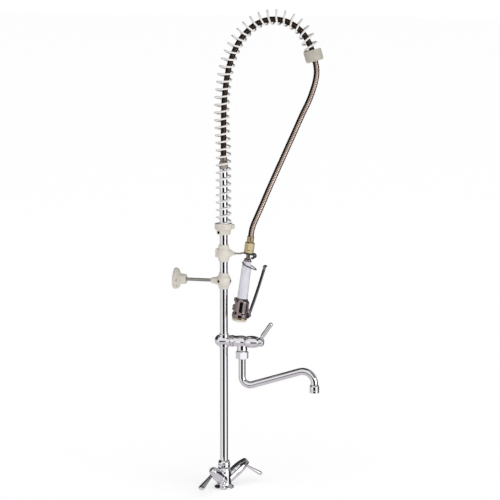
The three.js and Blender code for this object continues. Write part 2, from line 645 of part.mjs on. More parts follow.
function brackets() {
  const group = new THREE.Group();
  group.add(part('wall_tee', wallTee(), creamPlastic));
  group.add(part('wall_tee_riser_screw', radial(toGeometry(grubScrew(6)), -90, WALL_TEE_Z, 0, -10.3), steel));
  const sideScrew = radial(toGeometry(grubScrew(6)).translate(0, 0, 10.3), SIDE_SCREW_BEARING, WALL_TEE_Z);
  group.add(part('wall_tee_side_screw', sideScrew, steel));
  const rod = disc(WALL_ROD_R, 10.6, WALL_Y - 10, 0.5, SMALL);
  rod.rotateX(-Math.PI / 2).translate(0, 0, WALL_TEE_Z);
  group.add(part('wall_rod', rod, chrome));
  group.add(part('wall_flange', wallFlange(), creamPlastic));
  group.add(part('hook_tee', hookTee(), creamPlastic));
  group.add(part('hook_tee_screw', radial(toGeometry(grubScrew(8)), 90, HOOK_Z, 0, 10.3), steel));
  group.add(part('hook_fork', hookFork(), steel));
  group.add(part('spring_lower_collar', lowerCollar(), creamPlastic));
  const screwShape = toGeometry(grubScrew(6)).translate(0, 0, 10.3);
  const screw = radial(screwShape, SIDE_SCREW_BEARING, COLLAR_HUB_Z + 6.2);
  group.add(part('lower_collar_screw', screw, steel));
  return group;
}

// ---------------------------------------------------------------- hose and spring

const hoseCurve = new THREE.CatmullRomCurve3(HOSE_ROUTE.map((p) => sidePoint(p)), false, 'centripetal');
hoseCurve.arcLengthDivisions = 2000;

function smooth(x) {
  const t = Math.min(Math.max(x, 0), 1);
  return t * t * (3 - 2 * t);
}

const TOP_COLLAR_MIDDLE = 537;    // lengths along the hose, from its start
const TOP_COLLAR_LENGTH = 28;
const TOP_CUP_DEPTH = 14;
const SPRING_END = TOP_COLLAR_MIDDLE - 4;

// The frame of the spring's centreline at a length measured from the hose's start.
// Below the hose it follows the riser; on the arch it hangs outward of the hose.
function springFrame(length) {
  const total = hoseCurve.getLength();
  const centre = new THREE.Vector3(0, 0, HOSE_START_Z + length);
  const along = new THREE.Vector3(0, 0, 1);
  if (length > 0) {
    hoseCurve.getPointAt(length / total, centre);
    hoseCurve.getTangentAt(length / total, along);
  }
  const side = new THREE.Vector3(1, 0, 0);
  const outward = along.clone().cross(side);
  const shift = SPRING_SHIFT * smooth(length / 120) * smooth((TOP_COLLAR_MIDDLE - 16 - length) / 70);
  centre.addScaledVector(outward, shift);
  return { centre, along, outward, side: along.clone().cross(outward) };
}

function spring() {
  const start = COLLAR_CUP_Z + SPRING_WIRE_R + 1.4 - HOSE_START_Z;
  const end = SPRING_END;
  const steps = Math.round((end - start) / SPRING_PITCH * SPRING_STEPS);
  const stations = [];
  for (let i = 0; i <= steps; i += 1) {
    const frame = springFrame(start + (end - start) * i / steps);
    const angle = 2 * Math.PI * i / SPRING_STEPS;
    stations.push(frame.centre
      .addScaledVector(frame.outward, SPRING_R * Math.cos(angle))
      .addScaledVector(frame.side, SPRING_R * Math.sin(angle)));
  }
  return tube(stations, SPRING_WIRE_R, 4);
}

function topCollar() {
  const frame = springFrame(TOP_COLLAR_MIDDLE);
  const place = new THREE.Matrix4().makeBasis(frame.outward, frame.side, frame.along);
  place.setPosition(frame.centre);
  const low = -TOP_COLLAR_LENGTH / 2;
  const high = TOP_COLLAR_LENGTH / 2;
  const floor = low + TOP_CUP_DEPTH;
  const profile = [
    [9, floor], [20.6, floor], [20.6, low], [21.4, low], [22, low + 0.8], [22, high - 5], [21, high - 1.6],
    [19.4, high], [10.4, high], [9, high - 1.6], [9, floor],
  ];
  return lathe(profile, WIDE).applyMatrix4(place);
}

function hoseStations() {
  const count = 50;
  return Array.from({ length: count + 1 }, (_, i) => hoseCurve.getPointAt(i / count));
}

function hoseAssembly() {
  const group = new THREE.Group();
  const nut = cut(hexPrism(11.2, RISER_TOP_Z + GAP, HOSE_NUT_TOP_Z, 0.8), disc(5.4, 800, 830));
  group.add(part('riser_hose_nut', nut, nickel));
  const ferrule = ring(4.8, 8.9, HOSE_NUT_TOP_Z + GAP, HOSE_START_Z - GAP);
  group.add(part('hose_ferrule_riser', ferrule, nickel));
  group.add(part('hose', tube(hoseStations(), HOSE_R, 8), hoseBraid));
  group.add(part('spring', spring(), springCoat));
  group.add(part('spring_top_collar', topCollar(), creamPlastic));
  return group;
}

// ---------------------------------------------------------------- spray gun, in its own frame

const NUT_LOW = 5.4;
const NUT_HIGH = 31;
const GRIP_TOP = -16.5;
const GRIP_LOW = -111.5;
const BODY_LOW = -160;
const STEM_LEVEL = -138;
const PIVOT = [21.5, -153];      // [forward, height]
const LEVER_LEAN = 10.4;
const LEVER_LENGTH = 134;

function couplingNut() {
  return cut(hexPrism(12.8, NUT_LOW, NUT_HIGH, 1), disc(5.5, 0, 12), disc(9.4, 9.6, 29), disc(7.4, 20, 40));
}

function nipple() {
  const outer = [
    [0, -122], [6.9, -122], [6.9, GRIP_TOP - 1], [5, GRIP_TOP + 0.6], [5, 9.9], [9, 9.9], [9, 13], [0, 13],
  ];
  return cut(lathe(outer), disc(3.4, -125, 15, 0, SMALL));
}

function grip() {
  const outer = [
    [0, GRIP_LOW], [13, GRIP_LOW], [13, -96], [12, -27.4], [9.8, -26.4], [9.8, -19], [11.4, -18.2],
    [11, GRIP_TOP], [0, GRIP_TOP],
  ];
  return cut(lathe(outer), disc(7.3, GRIP_LOW - 1, GRIP_TOP + 1));
}

// A bent wire loop about the top of the grip: it hangs in the grip's groove at the back,
// dips toward the user, and its two ends butt together at one side.
const RING_WIRE_R = 1.3;
const RING_BACK = [-11.6, -21.5];  // [forward, height] of the loop's hinge line
const RING_DIP = 19;               // the loop hangs below square to the handle

function holdRing() {
  const backR = 14.6;
  const frontR = 8;
  const length = 38.6;
  const arc = (centre, radius, from, to, steps) => Array.from({ length: steps + 1 }, (_, i) => {
    const angle = rad(from + (to - from) * i / steps);
    return [centre + radius * Math.cos(angle), radius * Math.sin(angle)];
  });
  const loop = [
    [backR + 4.5, 12.3], ...arc(backR, backR, 90, 270, 12), ...arc(length - frontR, frontR, -80, 80, 8),
    [backR + 5.3, 11.97],
  ];
  const stations = loop.map(([ahead, x]) => new THREE.Vector3(x, -ahead, 0));
  return tube(stations, RING_WIRE_R, 6)
    .rotateX(rad(RING_DIP))
    .translate(0, -RING_BACK[0], RING_BACK[1]);
}

function gunBody() {
  const shell = lathe([
    [0, BODY_LOW], [20.4, BODY_LOW], [20.4, -151], [17.2, -146.5], [17.2, -120], [16.4, -115.6],
    [13.4, GRIP_LOW - 0.4], [0, GRIP_LOW - 0.4],
  ], WIDE);
  const [pivotAhead, pivotZ] = PIVOT;
  const stemBlock = box(17, 9, 30, 0, -13.5, -134);
  const seatPlug = forward(disc(8, -20.8, -12, 0.8), 0, STEM_LEVEL);
  const lugs = [-1, 1].map((side) => (
    disc(5, 0, 3.4).rotateY(Math.PI / 2).translate(side * 6.9 - 1.7, -pivotAhead, pivotZ)));
  const webs = [-1, 1].map((side) => box(3.4, 9, 9, side * 6.9, -(pivotAhead - 4.5), pivotZ));
  const tailSeat = disc(7.2, -122.4, -100);
  const feed = disc(3.4, STEM_LEVEL, -120, 0, SMALL);
  const chamber = forward(disc(6.4, -12, 12), 0, STEM_LEVEL);
  const stemBore = forward(disc(2.6, 10, 24, 0, SMALL), 0, STEM_LEVEL);
  const outlet = disc(5, -155, STEM_LEVEL);
  const sprayCavity = disc(13.8, BODY_LOW - 1, -152);
  const knuckleSlot = box(10.4, 14, 17, 0, -(15.8 + 7), -153.5);
  const pinHole = disc(2.3, -12, 12, 0, SMALL).rotateY(Math.PI / 2).translate(0, -pivotAhead, pivotZ);
  const solid = join(shell, stemBlock, seatPlug, ...lugs, ...webs);
  return cut(solid, tailSeat, feed, chamber, stemBore, outlet, sprayCavity, knuckleSlot, pinHole);
}

function leverFrame() {
  return new THREE.Matrix4().makeRotationX(rad(LEVER_LEAN)).setPosition(0, -PIVOT[0], PIVOT[1]);
}

// The squeeze lever: a strap that rises from its knuckle to a T-shaped end.
function gunLever() {
  const outline = new THREE.Shape();
  outline.moveTo(-4.7, 0);
  outline.lineTo(4.7, 0);
  outline.lineTo(4.7, 8);
  outline.quadraticCurveTo(6.2, 12, 6.2, 18);
  outline.lineTo(5.2, LEVER_LENGTH - 10);
  outline.quadraticCurveTo(5.2, LEVER_LENGTH - 4, 7, LEVER_LENGTH);
  outline.lineTo(-7, LEVER_LENGTH);
  outline.quadraticCurveTo(-5.2, LEVER_LENGTH - 4, -5.2, LEVER_LENGTH - 10);
  outline.lineTo(-6.2, 18);
  outline.quadraticCurveTo(-6.2, 12, -4.7, 8);
  outline.closePath();
  const strap = new THREE.ExtrudeGeometry(outline, { depth: 5, bevelEnabled: false, curveSegments: 4 })
    .rotateX(Math.PI / 2).translate(0, 2.5, 0);
  const knuckle = disc(4.6, -4.7, 4.7, 0.4, SMALL).rotateY(Math.PI / 2);
  const tee = disc(4.4, -8, 8, 1, SMALL).scale(0.5, 1, 1).rotateY(Math.PI / 2);
  tee.translate(0, -0.6, LEVER_LENGTH);
  const pinHole = disc(2.3, -8, 8, 0, SMALL).rotateY(Math.PI / 2);
  return toSolid(toGeometry(cut(join(strap, knuckle, tee), pinHole)).applyMatrix4(leverFrame()));
}

function stemSpring() {
  const turns = 5;
  const steps = 7;
  const stations = Array.from({ length: turns * steps + 1 }, (_, i) => {
    const angle = 2 * Math.PI * i / steps;
    const back = 5 - 14 * i / (turns * steps);
    return new THREE.Vector3(4 * Math.cos(angle), back, STEM_LEVEL + 4 * Math.sin(angle));
  });
  return tube(stations, 0.55, 4);
}

function sprayFace() {
  const low = -167.6;
  const holes = [];
  for (const [count, radius] of [[4, 4.4], [8, 9.4]]) {
    for (let i = 0; i < count; i += 1) {
      holes.push(disc(0.9, low - 2, low + 6, 0, 5).translate(radius, 0, 0).rotateZ(2 * Math.PI * i / count));
    }
  }
  return cut(disc(13.1, low, BODY_LOW - 3.9, 0.6), ...holes);
}

function gun() {
  const group = new THREE.Group();
  group.applyMatrix4(gunFrame());
  group.add(part('hose_ferrule_gun', ring(4.8, 8.9, NUT_HIGH + GAP, 46), nickel));
  group.add(part('gun_coupling_nut', couplingNut(), brass));
  group.add(part('gun_nipple', nipple(), nickel));
  group.add(part('gun_grip', grip(), gripPlastic));
  group.add(part('hold_ring', holdRing(), steel));
  group.add(part('gun_body', gunBody(), darkNickel));
  group.add(part('gun_lever', gunLever(), darkNickel));
  const pin = join(disc(2, -9.2, 9.6, 0.4, SMALL), disc(3.4, 8.9, 10.6, 0.5, SMALL));
  group.add(part('gun_lever_pin', pin.rotate([0, 90, 0]).translate([0, -PIVOT[0], PIVOT[1]]), steel));
  const stem = join(disc(2.2, -8, 21, 0.3, SMALL), disc(4.8, -9, -6, 0, SMALL));
  group.add(part('gun_stem', stem.rotate([90, 0, 0]).translate([0, 0, STEM_LEVEL]), steel));
  group.add(part('gun_stem_spring', stemSpring(), steel));
  const packing = cut(hexPrism(5.4, 18.3, 19.3, 0.3), disc(2.6, 17, 21, 0, SMALL));
  group.add(part('gun_packing_nut', packing.rotate([90, 0, 0]).translate([0, 0, STEM_LEVEL]), brass));
  group.add(part('spray_ring', ring(14.6, 18.9, BODY_LOW - 3.6, BODY_LOW - GAP, WIDE), brass));
  const bumper = lathe([
    [13.5, BODY_LOW - 3.9], [13.5, -168.2], [14.4, -169.4], [16.6, -169.6], [18, -168.4], [18.4, -166.4],
    [18.4, BODY_LOW - 3.9], [13.5, BODY_LOW - 3.9],
  ], WIDE);
  group.add(part('spray_bumper', bumper, paleRubber));
  group.add(part('spray_face', sprayFace(), steel));
  return group;
}

// ---------------------------------------------------------------- the whole faucet

const faucet = new THREE.Group();
faucet.add(mixerBase(), riser(), spoutAssembly(), brackets(), hoseAssembly(), gun());

export default faucet;
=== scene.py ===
import json
import math
from bisect import bisect_right

import bmesh
import bpy
from mathutils import Matrix, Vector


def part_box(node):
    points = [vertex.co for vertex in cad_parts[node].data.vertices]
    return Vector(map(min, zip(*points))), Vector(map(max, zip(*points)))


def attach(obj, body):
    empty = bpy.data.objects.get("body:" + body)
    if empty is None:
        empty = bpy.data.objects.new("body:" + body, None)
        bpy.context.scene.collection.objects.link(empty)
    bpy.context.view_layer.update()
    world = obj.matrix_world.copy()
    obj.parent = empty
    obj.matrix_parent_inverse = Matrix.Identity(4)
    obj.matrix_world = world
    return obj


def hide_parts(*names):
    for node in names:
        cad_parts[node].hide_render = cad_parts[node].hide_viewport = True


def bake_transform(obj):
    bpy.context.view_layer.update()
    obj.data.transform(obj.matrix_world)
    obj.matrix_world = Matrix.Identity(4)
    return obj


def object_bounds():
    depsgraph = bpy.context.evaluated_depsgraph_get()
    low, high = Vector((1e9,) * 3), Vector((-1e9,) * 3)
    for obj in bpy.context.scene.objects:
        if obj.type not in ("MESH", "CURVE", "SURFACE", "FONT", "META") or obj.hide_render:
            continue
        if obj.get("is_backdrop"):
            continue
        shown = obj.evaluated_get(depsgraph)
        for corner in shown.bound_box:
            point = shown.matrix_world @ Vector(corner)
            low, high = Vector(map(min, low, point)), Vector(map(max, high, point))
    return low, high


# Looks of a deck-mounted pre-rinse faucet: a two-lever mixer, a riser with a swinging spout,
# clamped plastic brackets, a coated spring arch round a metal hose, and a squeeze spray gun.
# Shapes are made in millimetres, and piece() writes them in metres in the model's frame.

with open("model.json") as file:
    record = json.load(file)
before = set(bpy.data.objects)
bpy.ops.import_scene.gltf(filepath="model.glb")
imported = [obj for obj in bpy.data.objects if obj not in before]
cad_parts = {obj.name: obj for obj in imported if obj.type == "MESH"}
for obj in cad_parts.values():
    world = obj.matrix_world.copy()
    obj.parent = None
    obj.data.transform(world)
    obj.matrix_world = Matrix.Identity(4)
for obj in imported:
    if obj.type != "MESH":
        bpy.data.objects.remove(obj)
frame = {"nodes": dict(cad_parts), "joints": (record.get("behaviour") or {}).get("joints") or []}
cad_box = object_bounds()

MM = 0.001
UP = Vector((0, 0, 1))
STAND = "stand"
GUN = "gun_body_group"
HOSE_START_Z = 842.3

joints = {joint["name"]: joint for joint in frame["joints"]}


def pivot(joint):
    """A hinge's point, in millimetres."""
    return Vector(joints[joint]["pos_m"]) / MM


def low(node):
    return Vector(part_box(node)[0]) / MM


def high(node):
    return Vector(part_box(node)[1]) / MM


def middle(node):
    return (low(node) + high(node)) / 2


# ---------------------------------------------------------------- camera and studio

CAMERA_BEARING = math.radians(-74)
CAMERA_DISTANCE = 5.17
CAMERA_HEIGHT = 1.385
CAMERA_PITCH = math.radians(8.57)
CAMERA_YAW = math.radians(0.724)
CAMERA_LENS = 151.56

to_camera = Vector((math.sin(CAMERA_BEARING), -math.cos(CAMERA_BEARING), 0))
camera_right = Vector((math.cos(CAMERA_BEARING), math.sin(CAMERA_BEARING), 0))


def add_camera():
    data = bpy.data.cameras.new("camera")
    data.lens = CAMERA_LENS
    data.clip_end = 100
    camera = bpy.data.objects.new("camera", data)
    level = camera_right * math.sin(CAMERA_YAW) - to_camera * math.cos(CAMERA_YAW)
    right = camera_right * math.cos(CAMERA_YAW) + to_camera * math.sin(CAMERA_YAW)
    ahead = level * math.cos(CAMERA_PITCH) - UP * math.sin(CAMERA_PITCH)
    above = right.cross(ahead)
    facing_ahead = Matrix((right, above, -ahead)).transposed().to_4x4()
    standpoint = Matrix.Translation(to_camera * CAMERA_DISTANCE + UP * CAMERA_HEIGHT)
    camera.matrix_world = standpoint @ facing_ahead
    bpy.context.scene.collection.objects.link(camera)
    bpy.context.scene.camera = camera


class Nodes:
    """Adds nodes to a tree, and links or sets their inputs by name."""

    def __init__(self, tree):
        self.tree = tree

    def add(self, kind, settings=None, **inputs):
        node = self.tree.nodes.new("ShaderNode" + kind)
        for name, value in (settings or {}).items():
            setattr(node, name, value)
        for name, value in inputs.items():
            self.set(node, int(name[1:]) if name[0] == "_" else name.replace("_", " "), value)
        return node

    def set(self, node, key, value):
        if isinstance(value, bpy.types.NodeSocket):
            self.tree.links.new(value, node.inputs[key])
        else:
            node.inputs[key].default_value = value

    def math(self, operation, a, b=0.0):
        return self.add("Math", {"operation": operation}, _0=a, _1=b).outputs[0]

    def ramp(self, factor, stops):
        """A grey or coloured ramp; each stop is (position, value or colour)."""
        node = self.add("ValToRGB", Fac=factor)
        ramp = node.color_ramp
        while len(ramp.elements) < len(stops):
            ramp.elements.new(0.5)
        for element, (position, value) in zip(ramp.elements, stops):
            element.position = position
            colour = (value,) * 3 if isinstance(value, (int, float)) else value
            element.color = (*colour, 1)
        return node.outputs["Color"]

    def mix(self, factor, a, b, blend="MIX"):
        node = self.add("Mix", {"data_type": "RGBA", "blend_type": blend})
        self.set(node, 0, factor)
        self.set(node, 6, a)
        self.set(node, 7, b)
        return node.outputs[2]


# What polished metal reflects. Each stop is (degrees to the right of the camera's own direction,
# brightness): a dark flag round the camera with a bright panel on each side near the horizon, and
# one large bright panel in front, over the flag, with an unlit room behind it.
STUDIO_LOW = [
    (-180, 0.66), (-112, 0.55), (-66, 0.74), (-48, 1.0), (-36, 1.0), (-32, 0.01), (21, 0.01),
    (27, 1.05), (77, 1.05), (84, 0.02), (140, 0.03), (156, 0.6),
]
STUDIO_HIGH = [
    (-180, 0.03), (-78, 0.02), (-58, 0.82), (26, 0.9), (36, 0.04), (66, 0.03), (84, 0.4), (128, 0.45),
    (150, 0.05), (180, 0.03),
]
FLAG_TOP = 0.03                                     # sines of the elevations where the flag ends
FLAG_FOOT = -0.36
FLAG_BLUR = 0.02
CEILING = [(0.95, 0.0), (0.985, 1.0)]               # the dark ceiling, by height from 0 to 1
CEILING_COLOUR = (0.03, 0.03, 0.03, 1)
DECK_COLOUR = (0.62, 0.59, 0.62, 1)                 # what lies below the flag
SOFT_LIGHT = [(0.0, 0.0), (0.3, 0.03), (0.65, 0.5), (1.0, 1.0)]   # dark behind, bright in front
SOFT_TINT = (0.95, 0.95, 0.96, 1)
STUDIO_STRENGTH = 1.04
KEY_STRENGTH = 0.7
KEY_SPREAD = math.radians(30)
KEY_TINT = (1.0, 0.985, 0.96)
FLOOR_HALF = 30
FLOOR_GREY = 0.93
FLOOR_GLOW = 0.5


def along(n, direction, axis):
    """How far the direction points along an axis, from -1 to 1."""
    return n.add("VectorMath", {"operation": "DOT_PRODUCT"}, _0=direction, _1=axis).outputs["Value"]


def halved(n, value, scale=0.5):
    """A value that runs either side of zero, moved to run from 0 to 1."""
    return n.add("Math", {"operation": "MULTIPLY_ADD"}, _0=value, _1=scale, _2=0.5).outputs[0]


def mirrored_studio(n, direction):
    """The walls, flag, ceiling and deck that polished metal reflects."""
    bearing = n.math("ARCTAN2", along(n, direction, camera_right), along(n, direction, to_camera))
    turned = halved(n, bearing, 0.5 / math.pi)
    low_walls, high_walls = (
        n.ramp(turned, [(degrees / 360 + 0.5, value) for degrees, value in stops])
        for stops in (STUDIO_LOW, STUDIO_HIGH)
    )
    height = halved(n, along(n, direction, UP))
    top = FLAG_TOP / 2 + 0.5
    above_flag = n.ramp(height, [(top - FLAG_BLUR, 0.0), (top + FLAG_BLUR, 1.0)])
    walls = n.mix(above_flag, low_walls, high_walls)
    walls = n.mix(n.ramp(height, CEILING), walls, CEILING_COLOUR)
    foot = FLAG_FOOT / 2 + 0.5
    below = n.ramp(height, [(foot - FLAG_BLUR, 1.0), (foot + FLAG_BLUR, 0.0)])
    return n.mix(below, walls, DECK_COLOUR)


def soft_light(n, direction):
    """The even light from the front that falls on matt surfaces."""
    source = (to_camera * 0.85 + UP * 0.5 + camera_right * 0.15).normalized()
    front = halved(n, along(n, direction, source))
    return n.mix(1.0, n.ramp(front, SOFT_LIGHT), SOFT_TINT, "MULTIPLY")


def add_world():
    """White to the camera, a soft light from the front on matt surfaces, a studio to gloss."""
    world = bpy.data.worlds.new("studio")
    bpy.context.scene.world = world
    world.use_nodes = True
    world.node_tree.nodes.clear()
    n = Nodes(world.node_tree)
    direction = n.add("TexCoord").outputs["Generated"]
    rays = n.add("LightPath")
    studio = mirrored_studio(n, direction)
    lit = n.mix(rays.outputs["Is Diffuse Ray"], studio, soft_light(n, direction))
    colour = n.mix(rays.outputs["Is Camera Ray"], lit, (1, 1, 1, 1))
    background = n.add("Background", Color=colour, Strength=STUDIO_STRENGTH)
    n.set(n.add("OutputWorld"), "Surface", background.outputs[0])


def add_key_light():
    """A wide sun, low on the right, that models the plastic's round shapes."""
    sun = bpy.data.lights.new("key", "SUN")
    sun.energy = KEY_STRENGTH
    sun.angle = KEY_SPREAD
    sun.color = KEY_TINT
    key = bpy.data.objects.new("key", sun)
    toward = (to_camera * 0.62 + camera_right * 0.78 + UP * 0.1).normalized()
    key.rotation_mode = "QUATERNION"
    key.rotation_quaternion = toward.to_track_quat("Z", "Y")
    bpy.context.scene.collection.objects.link(key)


def add_floor():
    """A plain pale floor that glows a little, so that it meets the white behind it unseen."""
    corners = [(x * FLOOR_HALF, y * FLOOR_HALF, 0) for x, y in ((-1, -1), (1, -1), (1, 1), (-1, 1))]
    mesh = bpy.data.meshes.new("floor")
    mesh.from_pydata(corners, [], [(0, 1, 2, 3)])
    material = bpy.data.materials.new("floor")
    material.use_nodes = True
    shader = material.node_tree.nodes["Principled BSDF"]
    shader.inputs["Base Color"].default_value = (FLOOR_GREY, FLOOR_GREY, FLOOR_GREY, 1)
    shader.inputs["Roughness"].default_value = 0.9
    shader.inputs["Emission Color"].default_value = (1, 1, 1, 1)
    shader.inputs["Emission Strength"].default_value = FLOOR_GLOW
    mesh.materials.append(material)
    floor = bpy.data.objects.new("floor", mesh)
    floor.visible_glossy = False
    bpy.context.scene.collection.objects.link(floor)
    floor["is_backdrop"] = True


bpy.context.scene.view_settings.view_transform = "Standard"
add_camera()
add_world()
add_key_light()
add_floor()


# ---------------------------------------------------------------- materials

def surface(name, colour, roughness, metallic=0.0, **sockets):
    """A Principled material; returns the material, its nodes and its shader."""
    material = bpy.data.materials.new(name)
    material.use_nodes = True
    n = Nodes(material.node_tree)
    shader = material.node_tree.nodes["Principled BSDF"]
    n.set(shader, "Base Color", (*colour, 1))
    n.set(shader, "Roughness", roughness)
    n.set(shader, "Metallic", metallic)
    for key, value in sockets.items():
        n.set(shader, key.replace("_", " "), value)
    return material, n, shader


def place(n, stretch=(1, 1, 1)):
    """Positions on the object, in metres, stretched for grain."""
    spot = n.add("TexCoord").outputs["Object"]
    return n.add("Mapping", Vector=spot, Scale=stretch).outputs[0]


def noise(n, scale, detail=3.0, stretch=(1, 1, 1), rough=0.5):
    where = place(n, stretch)
    return n.add("TexNoise", Vector=where, Scale=scale, Detail=detail, Roughness=rough).outputs["Fac"]


def between(n, value, start, end):
    """A value that runs from 0 to 1, made to run from start to end."""
    return n.add("MapRange", Value=value, _3=start, _4=end).outputs[0]


def bump(n, shader, height, distance):
    node = n.add("Bump", Height=height, Distance=distance, Strength=1.0)
    n.set(shader, "Normal", node.outputs[0])


def occlusion_shade(n, reach):
    """A mask for painted shade, from ambient occlusion: 0 in a corner between two faces, 1 in the open."""
    shade = n.add("AmbientOcclusion", {"samples": 6}, Distance=reach)
    return n.ramp(shade.outputs["AO"], [(0.25, 0.0), (0.85, 1.0)])


def polished(name, colour, roughness, tarnish_and_shade, smear=0.06, wave=0.00001):
    """Plated metal: a mirror with smears, water marks, fine rubbing, faint tarnish, and painted shade in
    its corners.
    """
    material, n, shader = surface(name, colour, roughness, 1.0)
    smears = noise(n, 38, 4)
    marks = n.add("TexVoronoi", {"feature": "DISTANCE_TO_EDGE"}, Vector=place(n), Scale=210)
    rings = n.ramp(marks.outputs["Distance"], [(0.0, 1.0), (0.05, 0.0), (0.09, 0.35), (0.14, 0.0)])
    rub = noise(n, 900, 2, (1, 1, 0.08))
    spots = n.math("MULTIPLY", rings, n.ramp(smears, [(0.55, 0.0), (0.75, 1.0)]))
    worn = n.math("ADD", n.math("MULTIPLY", smears, smear), n.math("MULTIPLY", rub, smear * 0.4))
    worn = n.math("ADD", worn, n.math("MULTIPLY", spots, 0.10))
    n.set(shader, "Roughness", n.math("ADD", worn, roughness - 0.5 * smear))
    clean = n.mix(n.math("MULTIPLY", smears, 0.12), (*colour, 1), (*tarnish_and_shade, 1))
    # Painted shade: the tarnish colour in the corners, from ambient occlusion.
    n.set(shader, "Base Color", n.mix(occlusion_shade(n, 0.0025), (*tarnish_and_shade, 1), clean))
    bump(n, shader, noise(n, 170, 2), wave)
    return material


def moulded_plastic(name, colour, grime_and_shade, roughness=0.42, stipple=1500):
    """Moulded plastic: fine stipple, soft sink marks, handling marks and specks, and painted shade in its
    corners.
    """
    material, n, shader = surface(name, colour, roughness, 0.0, Coat_Weight=0.12, Coat_Roughness=0.25)
    patches = noise(n, 55, 5, rough=0.6)
    tone = n.mix(n.ramp(patches, [(0.35, 0.0), (0.7, 0.35)]), (*colour, 1), (*grime_and_shade, 1))
    specks = n.ramp(noise(n, 620, 2), [(0.70, 0.0), (0.76, 0.5)])
    tone = n.mix(specks, tone, (*grime_and_shade, 1))
    # Painted shade: the grime colour in the corners, from ambient occlusion.
    n.set(shader, "Base Color", n.mix(occlusion_shade(n, 0.004), (*grime_and_shade, 1), tone))
    n.set(shader, "Roughness", between(n, patches, roughness - 0.08, roughness + 0.16))
    sink = n.math("MULTIPLY", noise(n, 90, 2), 2.2)
    bump(n, shader, n.math("ADD", noise(n, stipple, 2), sink), 0.00006)
    return material


def hose_metal():
    """Interlocked metal hose with painted light: a painted highlight on its front and sides, painted shade
    toward the wall and in its grooves, and a painted shadow for the length that the spring covers."""
    painted_light, dull, groove = (0.86, 0.68, 0.58, 1), (0.10, 0.06, 0.04, 1), (0.02, 0.014, 0.01, 1)
    material, n, shader = surface("hose_metal", painted_light[:3], 0.24, 1.0, Specular_Tint=(0.12, 0.09, 0.08, 1))
    position = n.add("SeparateXYZ", Vector=n.add("TexCoord").outputs["Object"])
    drop = n.math("MULTIPLY", n.math("SUBTRACT", HOSE_START_Z * MM, position.outputs["Z"]), 0.8)
    past_spring = n.math("SUBTRACT", drop, position.outputs["Y"])
    outside = n.ramp(past_spring, [(0.015, 0.0), (0.06, 1.0)])
    facing_out = n.add("SeparateXYZ", Vector=n.add("TexCoord").outputs["Normal"])
    side = n.math("ABSOLUTE", facing_out.outputs["X"])
    front = n.math("MULTIPLY", facing_out.outputs["Y"], 0.5)
    # Painted highlight where the surface faces the front and sides, painted shade where it faces the wall.
    painted_front_light = n.ramp(n.math("MULTIPLY", n.math("SUBTRACT", side, front), 0.8), [(0.74, 0.0), (0.82, 1.0)])
    # Painted shadow of the spring: inside the coil the painted highlight is nearly gone.
    lit = n.math("ADD", n.math("MULTIPLY", outside, 0.93), 0.07)
    strip = n.mix(n.math("MULTIPLY", painted_front_light, lit), groove, painted_light)
    drift = n.ramp(noise(n, 26, 3), [(0.35, 0.0), (0.75, 0.35)])
    strip = n.mix(drift, strip, dull)
    # Painted shade in the grooves, from ambient occlusion.
    n.set(shader, "Base Color", n.mix(occlusion_shade(n, 0.0014), groove, strip))
    n.set(shader, "Roughness", between(n, noise(n, 300, 3), 0.18, 0.34))
    bump(n, shader, noise(n, 1100, 2), 0.00003)
    return material


def drawn_wire(name, colour, roughness=0.28):
    """Drawn steel wire: fine die lines and a slightly uneven polish."""
    material, n, shader = surface(name, colour, roughness, 1.0)
    lines = noise(n, 1400, 2, (1, 0.06, 1))
    n.set(shader, "Roughness", between(n, lines, roughness - 0.08, roughness + 0.14))
    stain = n.ramp(noise(n, 120, 4), [(0.4, 0.0), (0.8, 0.6)])
    n.set(shader, "Base Color", n.mix(stain, (*colour, 1), (*[c * 0.5 for c in colour], 1)))
    bump(n, shader, lines, 0.00002)
    return material


def rubber_like(name, colour, dust):
    """Rubber: matt, a little dusty, with a soft grain."""
    material, n, shader = surface(name, colour, 0.7, 0.0, Specular_IOR_Level=0.3)
    film = n.ramp(noise(n, 160, 5, rough=0.65), [(0.45, 0.0), (0.8, 0.5)])
    n.set(shader, "Base Color", n.mix(film, (*colour, 1), (*dust, 1)))
    n.set(shader, "Roughness", between(n, noise(n, 400, 3), 0.58, 0.85))
    bump(n, shader, noise(n, 2200, 2), 0.00005)
    return material


CHROME = polished("chrome", (0.88, 0.87, 0.90), 0.05, (0.42, 0.40, 0.42))
STEEL = drawn_wire("steel", (0.58, 0.575, 0.57))
DARK_WIRE = drawn_wire("dark_wire", (0.12, 0.12, 0.125), 0.22)
BLACK_SCREW = drawn_wire("black_screw", (0.012, 0.012, 0.013), 0.5)
ROD_STEEL = drawn_wire("rod_steel", (0.42, 0.41, 0.37), 0.3)
BRASS = polished("brass", (0.66, 0.54, 0.33), 0.13, (0.22, 0.15, 0.07), 0.1, 0.00003)
NICKEL = polished("nickel", (0.40, 0.35, 0.30), 0.17, (0.12, 0.09, 0.07), 0.1)
DARK_NICKEL = polished("dark_nickel", (0.31, 0.255, 0.255), 0.09, (0.06, 0.045, 0.04), 0.08)
LEVER_METAL = polished("lever_metal", (0.34, 0.31, 0.37), 0.16, (0.03, 0.025, 0.03), 0.1)
CREAM = moulded_plastic("cream_plastic", (0.76, 0.715, 0.645), (0.42, 0.38, 0.31))
WALL_CREAM = moulded_plastic("wall_cream", (0.66, 0.625, 0.56), (0.36, 0.33, 0.27))
# A darker copy of the cream plastic for the top spring cup: painted shade.
SHADED_CREAM = moulded_plastic("shaded_cream_plastic", (0.52, 0.49, 0.42), (0.26, 0.235, 0.185))
COAT = moulded_plastic("spring_coat", (0.92, 0.905, 0.89), (0.42, 0.38, 0.35), 0.36, 900)
GRIP = moulded_plastic("grip_plastic", (0.76, 0.755, 0.82), (0.48, 0.47, 0.56), 0.4, 2600)
BLACK_RUBBER = rubber_like("black_rubber", (0.02, 0.02, 0.02), (0.12, 0.12, 0.12))
PALE_RUBBER = rubber_like("pale_rubber", (0.68, 0.62, 0.54), (0.86, 0.83, 0.78))
HOSE_METAL = hose_metal()

